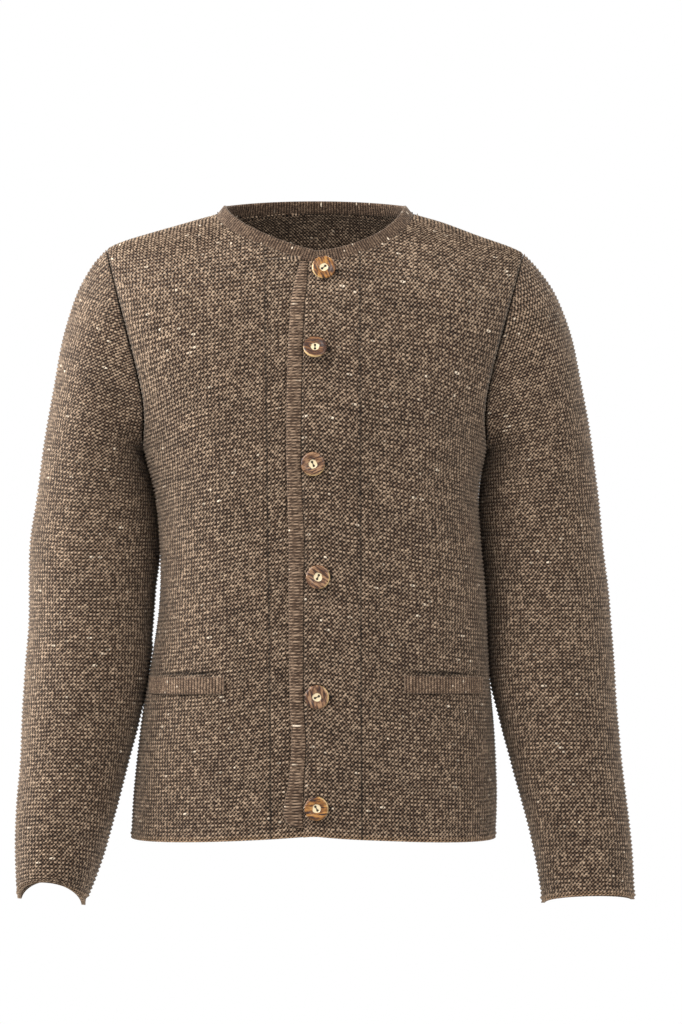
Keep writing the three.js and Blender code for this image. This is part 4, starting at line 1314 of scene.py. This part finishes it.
@dataclass(frozen=True)
class WoolFinish:
    """Heathered wool: dark, mid and pale strands with cream slubs, painted shade in the holes between
    stitches, in the seams and along the facing, and a painted highlight on the stitches' tops.
    """

    name: str
    stitch: float
    course: float
    ribbed: float = 0.0
    # the colour of the painted shade in the holes between stitches, in the seams and the pockets' mouths, and
    # along the facing
    hole: Colour = (9, 5, 3)
    dark: Colour = (37, 24, 16)
    mid: Colour = (83, 63, 48)
    pale: Colour = (172, 148, 124)
    slub: Colour = (226, 208, 184)
    edge: Colour = (180, 146, 112)
    slub_share: float = 0.9
    edge_height: float = 6.5
    edge_share: float = 0.0
    bump: float = 0.8
    bump_distance: float = 0.9
    facing: tuple[float, float] | None = None  # how far out its stitch line and the painted shade in its groove lie, at its foot and its top
    facing_length: float = 600.0

    def facing_line(self, n: Nodes, across: object, up: object) -> bpy.types.NodeSocket:
        """1 along the facing's line of stitches, 0 away from it."""
        low, high = self.facing
        place = n.scale_add(up, (high - low) / self.facing_length, low * MM)
        away = n.math("ABSOLUTE", n.math("SUBTRACT", n.math("ABSOLUTE", across), place))
        return n.ramp(away, 1.7 * MM, 0.3 * MM)

    def build(self, knit: bpy.types.NodeTree) -> bpy.types.Material:
        """The material."""
        material = bpy.data.materials.new(self.name)
        material.use_nodes = True
        tree = material.node_tree
        shader = tree.nodes["Principled BSDF"]
        n = Nodes(tree)
        uv = n.add("ShaderNodeUVMap", uv_map=CLOTH_UV)
        shade = n.add("ShaderNodeAttribute", attribute_name=PAINTED_SHADE, attribute_type="GEOMETRY")
        parts = n.add("ShaderNodeSeparateXYZ", {0: uv.outputs[0]})
        face = n.add("ShaderNodeGroup", node_tree=knit)
        n.feed(face.inputs["Cloth"], uv.outputs[0])
        for name, value in (("Stitch", self.stitch), ("Course", self.course), ("Ribbed", self.ribbed)):
            n.feed(face.inputs[name], value)
        height, yarn = face.outputs["Height"], face.outputs["Yarn"]
        strands = n.mix(n.ramp(yarn, 0.44, 0.76), linear(*self.mid), linear(*self.pale))
        strands = n.mix(n.ramp(yarn, 0.52, 0.28, 0.0, 0.8), strands, linear(*self.dark))
        strands = n.mix(n.ramp(face.outputs["Patch"], 0.6, 0.32, 0.0, 0.25), strands, linear(*self.dark))
        # a painted highlight on the stitches' tops
        strands = n.mix(n.ramp(height, 0.55, 0.95, 0.0, 0.6), strands, linear(*self.pale))
        high = self.edge_height * MM
        edge = n.ramp(parts.outputs[1], high, 0.3 * high, 0.0, self.edge_share)
        strands = n.mix(edge, strands, linear(*self.edge))
        slub = n.math("MULTIPLY", face.outputs["Slub"], self.slub_share)
        strands = n.mix(slub, strands, linear(*self.slub))
        # painted shade in the holes between the stitches
        colour = n.mix(n.ramp(height, 0.52, 0.2, 0.0, 0.97), strands, linear(*self.hole))
        # painted shade in the seams and the pockets' mouths darkens the colour towards the hole colour
        colour = n.mix(n.math("MULTIPLY", shade.outputs["Fac"], 0.8), colour, linear(*self.hole))
        # painted shade along the facing's groove of stitches, which is also drawn lower in the bump
        if self.facing is not None:
            line = self.facing_line(n, parts.outputs[0], parts.outputs[1])
            colour = n.mix(n.math("MULTIPLY", line, 0.6), colour, linear(*self.hole))
            height = n.scale_add(line, -0.6, height)
        n.feed(shader.inputs["Base Color"], colour)
        bump = n.add(
            "ShaderNodeBump", {"Strength": self.bump, "Distance": self.bump_distance * MM, "Height": height}
        )
        n.feed(shader.inputs["Normal"], bump.outputs[0])
        shader.inputs["Roughness"].default_value = 0.93
        shader.inputs["Specular IOR Level"].default_value = 0.2
        shader.inputs["Sheen Weight"].default_value = 0.2
        shader.inputs["Sheen Roughness"].default_value = 0.45
        shader.inputs["Sheen Tint"].default_value = linear(230, 214, 196)
        return material


@dataclass(frozen=True)
class HornFinish:
    """Polished stag horn: brown streaks across the face, a pale rim and a cream heart."""

    name: str
    seed: float
    streak_turn: float  # degrees
    rim_turn: float  # where the rim is palest, degrees anticlockwise from the wearer's left
    mid: Colour
    pale: Colour
    dark: Colour = (38, 18, 9)
    rim: Colour = (182, 152, 104)
    heart: Colour = (206, 188, 152)
    thread: Colour = (10, 6, 4)
    radius: float = 12.0
    heart_radius: float = 4.2
    hole_out: float = 2.1  # how far from the middle each hole lies

    def build(self) -> bpy.types.Material:
        """The material."""
        material = bpy.data.materials.new(self.name)
        material.use_nodes = True
        tree = material.node_tree
        shader = tree.nodes["Principled BSDF"]
        n = Nodes(tree)
        uv = n.add("ShaderNodeUVMap", uv_map=FACE_UV)
        face = n.scaled(uv.outputs[0], PER_METRE)
        away = n.length(face)
        turned = n.add("ShaderNodeMapping", {
            "Vector": face,
            "Location": (self.seed, self.seed * 0.7, 0),
            "Rotation": (0, 0, math.radians(self.streak_turn)),
        })
        across = n.scaled(turned.outputs[0], (0.09, 0.4, 0.0))
        streaks = n.noise(across, 1.0, 5.0, 0.62)
        fine = n.noise(n.scaled(turned.outputs[0], (0.16, 2.6, 0.0)), 1.0, 3.0, 0.6)
        grain = n.math("ADD", n.math("MULTIPLY", streaks, 0.75), n.math("MULTIPLY", fine, 0.25))
        colour = n.mix(n.ramp(grain, 0.4, 0.52), linear(*self.dark), linear(*self.mid))
        colour = n.mix(n.ramp(grain, 0.49, 0.6), colour, linear(*self.pale))
        lean = math.radians(self.rim_turn)
        palest = (math.cos(lean), math.sin(lean), 0)
        toward = n.add("ShaderNodeVectorMath", {0: face, 1: palest}, operation="DOT_PRODUCT")
        edge = n.scale_add(toward.outputs["Value"], 0.16, away)
        edge = n.scale_add(streaks, 2.4, n.math("SUBTRACT", edge, 1.2))
        colour = n.mix(n.ramp(edge, self.radius * 1.02, self.radius * 1.1), colour, linear(*self.rim))
        heart_edge = n.scale_add(streaks, 2.4, n.math("SUBTRACT", away, 1.2))
        heart = n.ramp(heart_edge, self.heart_radius + 0.3, self.heart_radius - 0.3)
        colour = n.mix(heart, colour, linear(*self.heart))
        parts = n.add("ShaderNodeSeparateXYZ", {0: face})
        past_hole = n.math("SUBTRACT", n.math("ABSOLUTE", parts.outputs[0]), self.hole_out)
        past_bar = n.math("MAXIMUM", past_hole, 0.0)
        bar = n.add("ShaderNodeCombineXYZ", {0: past_bar, 1: parts.outputs[1]})
        from_bar = n.length(bar.outputs[0])
        hole = n.add("ShaderNodeCombineXYZ", {0: past_hole, 1: parts.outputs[1]})
        from_hole = n.length(hole.outputs[0])
        sewn = n.math("MAXIMUM", n.ramp(from_hole, 1.5, 1.1), n.ramp(from_bar, 0.9, 0.5, 0.0, 0.85))
        colour = n.mix(sewn, colour, linear(*self.thread))
        n.feed(shader.inputs["Base Color"], colour)
        relief = n.add("ShaderNodeBump", {"Strength": 0.25, "Distance": 0.3 * MM, "Height": grain})
        n.feed(shader.inputs["Normal"], relief.outputs[0])
        n.feed(shader.inputs["Roughness"], n.ramp(grain, 0.3, 0.7, 0.42, 0.3))
        shader.inputs["Specular IOR Level"].default_value = 0.35
        shader.inputs["Coat Weight"].default_value = 0.1
        shader.inputs["Coat Roughness"].default_value = 0.12
        return material


# ---------------------------------------------------------------- the garment


SLEEVE_LEFT = (
    (178.7, -249.7, 217.3, -43, 2, 57),
    (179.0, -249.9, 234, -62, 2, 58),
    (179.3, -250.3, 252, -90, 3, 59.5),
    (179.6, -250.9, 267, -130, 4, 61),
    (179.7, -251.8, 276, -178, 6, 62),
    (178.3, -256, 286, -228, 9, 62.5),
    (173.7, -280, 292, -274, 12, 63),
    (171.2, -315, 297, -315, 14, 63),
    (173.8, -355, 301.5, -355, 12, 63),
    (178.3, -400, 306.5, -400, 7, 62.5),
    (180.2, -445, 309, -445, 1, 61),
    (183.0, -490, 311, -490, -6, 59),
    (193, -535, 314.5, -535, -13, 56),
    (205, -580, 318, -580, -19, 52),
    (217, -625, 323, -625, -25, 48),
    (226.5, -667, 327, -666, -30, 44),
    (232, -699, 328.5, -696, -33, 41),
    (233.5, -708, 329, -704.5, -34, 41),
    (233.5, -712, 329, -708.5, -34, 41),
    (234, -716, 328.5, -712.5, -34, 41),
)
SLEEVE_RIGHT = (
    (178.7, -249.7, 217.3, -39.5, 2, 57),
    (179.0, -249.9, 233, -58, 2, 58),
    (179.3, -250.3, 249, -88, 3, 59.5),
    (179.6, -250.9, 262, -130, 4, 61),
    (179.7, -251.8, 271, -178, 6, 62),
    (177.8, -257, 279, -226, 9, 62.5),
    (171.7, -280, 286, -268, 12, 63),
    (165.3, -315, 291.5, -305, 13, 63),
    (162.4, -352, 296.5, -343, 10, 63.5),
    (165, -395, 297.5, -386, 4, 63),
    (168.3, -440, 297.5, -431, -3, 61.5),
    (173.4, -485, 300, -476, -10, 59),
    (181.5, -530, 302, -521, -17, 56),
    (193, -575, 303.5, -566, -23, 53),
    (204.5, -622, 307, -612, -29, 50),
    (217, -668, 308, -656, -33, 47),
    (229.5, -702, 306.5, -692, -36, 45),
    (234, -710, 305.5, -703.5, -36, 45),
    (235.5, -714, 305, -707.5, -36, 45),
    (236.5, -718, 304.5, -711.5, -36, 45),
)


# Across and up the body: soft troughs from the underarms and at the waist.
FRONT_LEFT_CREASES = (
    Crease((168, -205), (118, -300), 13, 2.4, 5),
    Crease((172, -262), (138, -372), 11, 1.8, -4),
    Crease((166, -392), (122, -470), 14, 1.6, 4),
    Crease((60, -505), (142, -600), 18, 1.3, -6),
    Crease((52, -120), (120, -205), 20, -1.2, 6),
)
FRONT_RIGHT_CREASES = (
    Crease((-166, -212), (-112, -318), 14, 2.6, -5),
    Crease((-168, -270), (-132, -392), 11, 1.9, 5),
    Crease((-158, -405), (-118, -492), 14, 1.7, -4),
    Crease((-70, -520), (-148, -610), 17, 1.4, 5),
    Crease((-48, -130), (-112, -196), 20, -1.1, -5),
)
BACK_CREASES = (
    Crease((165, -215), (96, -330), 15, 2.6, 5),
    Crease((-162, -222), (-104, -322), 14, 2.4, -6),
    Crease((150, -400), (40, -470), 16, 1.9, 5),
    Crease((-146, -415), (-58, -462), 15, 1.7, -5),
    Crease((-70, -250), (52, -262), 24, -1.4, 8),
)
# Round and up the sleeve: soft folds inside the elbow and over the forearm.
LEFT_SLEEVE_CREASES = (
    Crease((-150, 372), (-66, 330), 11, 2.2, 6),
    Crease((-158, 318), (-78, 296), 9, 1.7, -4),
    Crease((-120, 470), (-40, 410), 16, 1.6, 7),
    Crease((70, 330), (150, 352), 12, 1.5, 5),
    Crease((30, 180), (110, 148), 14, 1.2, 4),
)
RIGHT_SLEEVE_CREASES = (
    Crease((150, 366), (70, 322), 11, 2.3, -6),
    Crease((160, 310), (84, 286), 9, 1.8, 5),
    Crease((118, 462), (44, 418), 16, 1.5, -7),
    Crease((-72, 318), (-150, 344), 12, 1.6, -5),
    Crease((-34, 172), (-108, 140), 14, 1.2, -4),
)
# The pockets' openings, just above their welts: grooves with painted shade in them.
LEFT_MOUTH = Crease((84, -475.0), (171, -478.6), 2.0, 2.4)
RIGHT_MOUTH = Crease((-84, -475.0), (-170, -478.8), 2.0, 2.4)
# The horn's mid and pale colours.
GOLDEN = ((112, 68, 26), (164, 116, 58))
REDDISH = ((70, 40, 22), (120, 82, 50))
MOTTLED = ((92, 60, 38), (142, 108, 78))
# seed, which way the streaks run, which way the palest rim lies, colours
BUTTON_LOOKS = (
    (2.0, -62, 205, GOLDEN),
    (31.0, -10, 240, REDDISH),
    (57.0, 24, 290, MOTTLED),
    (83.0, -32, 335, MOTTLED),
    (109.0, -74, 10, MOTTLED),
    (131.0, 6, 25, GOLDEN),
)


@dataclass
class Cardigan:
    """The whole garment: cloth, trims and buttons."""

    form: BodyForm = field(default_factory=BodyForm)
    under_lap: float = 26.0  # how far the right front runs on past the centre line
    buttonhole_shift: float = 2.0  # how far each buttonhole's middle lies out from its button's
    buttons: tuple[HornButton, ...] = (
        HornButton("button_1", 9.5, -70, 40, 18),
        HornButton("button_2", 1, -151, 90, -15),
        HornButton("button_3", -1, -266, -65, 0),
        HornButton("button_4", 4, -379, 65, 0),
        HornButton("button_5", 3, -499, 25, 0),
        HornButton("button_6", 2.5, -610, -60, 0),
    )

    def __post_init__(self) -> None:
        """Makes the finishes."""
        knit = knit_group()
        self.armhole = Armhole(self.form)
        plain = WoolFinish("heather knit", STITCH, COURSE, edge_share=0.3)
        self.knit = plain.build(knit)
        self.left_front = replace(plain, name="heather knit left front", facing=(48.5, 46.5)).build(knit)
        self.right_front = replace(plain, name="heather knit right front", facing=(43.5, 51.0)).build(knit)
        # the rib's hole colour is the painted shade between its stitches
        ribbed = WoolFinish(
            "heather rib", 2.2, RIB_PITCH, 0.7, hole=(30, 20, 14), dark=(56, 41, 30), mid=(90, 71, 56),
            pale=(152, 128, 106), bump=0.4, bump_distance=0.5,
        )
        self.rib = ribbed.build(knit)
        self.neck_rib = replace(
            ribbed, name="heather rib neckband", dark=(46, 33, 24), mid=(76, 58, 45), pale=(128, 106, 86)
        ).build(knit)
        # the buttonholes' real thread, its near-black colours painted shade at the buttonholes' ends
        self.thread = WoolFinish(
            "dark thread", 0.9, 0.9, hole=(12, 8, 6), dark=(20, 14, 10), mid=(30, 21, 15), pale=(44, 32, 24),
            slub_share=0.0, bump=0.3, bump_distance=0.2,
        ).build(knit)

    def sewn_cloth(
        self, name: str, grids: Sequence[ClothGrid], material: bpy.types.Material | None = None
    ) -> bpy.types.Object:
        """A finished cloth piece that stands for its node, which it hides."""
        piece = new_piece(name + "_knit", wall_mesh(grids), material or self.knit)
        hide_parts(name)
        spans = [grid.size() for grid in grids]
        area = sum(grid.area() for grid in grids) * MM * MM
        return piece

    def build_body(self) -> None:
        """The back and the two fronts."""
        band = FrontBand(self.form)

        def centre(z: np.ndarray) -> np.ndarray:
            """The back's halves meet on the centre line."""
            return 0 * np.asarray(z, float)

        def under(z: np.ndarray) -> np.ndarray:
            """The right front runs on under the left one, past the centre line."""
            return 0 * np.asarray(z, float) - self.under_lap

        halves = [
            Panel(self.form, self.armhole, side, Face.BACK, centre, creases=BACK_CREASES) for side in Side
        ]
        self.sewn_cloth("back", [half.grid() for half in halves])
        left = Panel(
            self.form, self.armhole, Side.LEFT, Face.FRONT, band.seam_x, True,
            creases=FRONT_LEFT_CREASES, mouth=LEFT_MOUTH,
        )
        self.sewn_cloth("front_left", [left.grid()], self.left_front)
        right = Panel(
            self.form, self.armhole, Side.RIGHT, Face.FRONT, under,
            creases=FRONT_RIGHT_CREASES, mouth=RIGHT_MOUTH,
        )
        self.sewn_cloth("front_right", [right.grid()], self.right_front)

    def build_sleeves(self) -> None:
        """The two sleeves."""
        left = Sleeve(Side.LEFT, self.armhole, SLEEVE_LEFT, cuff_arch=(11, 0), creases=LEFT_SLEEVE_CREASES)
        self.sewn_cloth("sleeve_left", [left.grid()])
        right = Sleeve(
            Side.RIGHT, self.armhole, SLEEVE_RIGHT, cuff_arch=(25, 16),
            touches=((-244, -372, 1.9), (-450, -506, 2.0)), creases=RIGHT_SLEEVE_CREASES,
        )
        self.sewn_cloth("sleeve_right", [right.grid()])

    def build_trims(self) -> None:
        """The neckband, the edge band and the pocket welts."""
        strips = {
            "neckband": (Neckband(self.form), (0.56, 0.013)),
            "front_band": (FrontBand(self.form), (0.02, 0.57)),
            "pocket_welt_left": (Welt(self.form, Side.LEFT, 90, 168, -478.5), (0.092, 0.0175)),
            "pocket_welt_right": (Welt(self.form, Side.RIGHT, 90, 166, -479.5), (0.09, 0.0175)),
        }
        for name, (strip, flat) in strips.items():
            rib = self.neck_rib if name == "neckband" else self.rib
            piece = new_piece(name + "_rib", strip.build(), rib)
            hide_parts(name)
            log.info("%s: %d faces, cut %.3f x %.3f m", name, len(piece.data.polygons), *flat)

    def build_buttonholes(self) -> None:
        """A worked hole under each button, its outer end just past the button's edge, its thread painted near
        black as shade.
        """
        for button in self.buttons:
            hole = Buttonhole(self.form, button.x + self.buttonhole_shift, button.z)
            name = button.name.replace("button", "buttonhole") + "_thread"
            new_piece(name, hole.build(), self.thread)

    def build_buttons(self) -> None:
        """The six horn buttons."""
        for button, (seed, streaks, rim, (mid, pale)) in zip(self.buttons, BUTTON_LOOKS):
            finish = HornFinish(
                f"horn {button.name[-1]}", seed, button.turn - streaks, rim - button.turn, mid, pale
            ).build()
            piece = new_piece(button.name + "_horn", button.disc(), finish)
            button.cut_holes(piece)
            piece.data.transform(button.placed(self.form))
            piece.data.update()
            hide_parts(button.name)
            log.info("%s: %d faces", button.name, len(piece.data.polygons))


# ---------------------------------------------------------------- studio


@dataclass(frozen=True)
class Studio:
    """Soft lights, a pale surround that shows as white, and the camera."""

    camera: Place = (0.027, -3.2, -0.314)
    lens: float = 108.2
    surround: float = 1.0  # how brightly the surround lights the garment
    # name, place, what it is aimed at, size, power
    lamps: tuple[tuple[str, Place, Place, float, float], ...] = (
        ("key", (-2.0, -1.9, 1.6), (0, 0, 0.05), 1.3, 94),
        ("fill", (1.8, -2.6, 0.9), (0, 0, -0.3), 1.8, 40),
        ("side", (-2.6, 0.3, 0.45), (0, 0, -0.2), 1.3, 118),
        ("back", (1.2, 2.4, 1.3), (0, 0, -0.25), 1.6, 60),
    )

    def add_lamps(self) -> None:
        """The square soft lights."""
        for name, place, aim, size, power in self.lamps:
            light = bpy.data.lights.new(name, "AREA")
            light.energy, light.size = power, size
            lamp = bpy.data.objects.new(name, light)
            lamp.location = place
            lamp.rotation_euler = (Vector(aim) - Vector(place)).to_track_quat("-Z", "Y").to_euler()
            lamp.visible_camera = False
            bpy.context.scene.collection.objects.link(lamp)

    def add_surround(self) -> None:
        """The world: an even pale light, plain white wherever the camera looks past the garment."""
        world = bpy.data.worlds.new("studio")
        world.use_nodes = True
        tree = world.node_tree
        n = Nodes(tree)
        lit = tree.nodes["Background"]
        lit.inputs[0].default_value = (1, 1, 1, 1)
        lit.inputs[1].default_value = self.surround
        white = n.add("ShaderNodeBackground", {0: (1, 1, 1, 1), 1: 1.0})
        seen = n.add("ShaderNodeLightPath").outputs["Is Camera Ray"]
        both = n.add("ShaderNodeMixShader", {0: seen, 1: lit.outputs[0], 2: white.outputs[0]})
        tree.links.new(both.outputs[0], tree.nodes["World Output"].inputs[0])
        bpy.context.scene.world = world

    def build(self) -> None:
        """The lights, the surround and the camera."""
        self.add_lamps()
        self.add_surround()
        bpy.context.scene.view_settings.view_transform = "Standard"
        lens = bpy.data.cameras.new("camera")
        lens.lens, lens.sensor_width = self.lens, 36
        camera = bpy.data.objects.new("camera", lens)
        camera.location = self.camera
        camera.rotation_euler = (math.pi / 2, 0, 0)
        bpy.context.scene.collection.objects.link(camera)
        bpy.context.scene.camera = camera


def main() -> None:
    """Builds the garment and its studio, and logs the trims and buttons."""
    logging.basicConfig(level=logging.INFO, format="%(name)s: %(message)s")
    Studio().build()
    cardigan = Cardigan()
    cardigan.build_body()
    cardigan.build_sleeves()
    cardigan.build_trims()
    cardigan.build_buttonholes()
    cardigan.build_buttons()


if __name__ == "__main__":
    main()
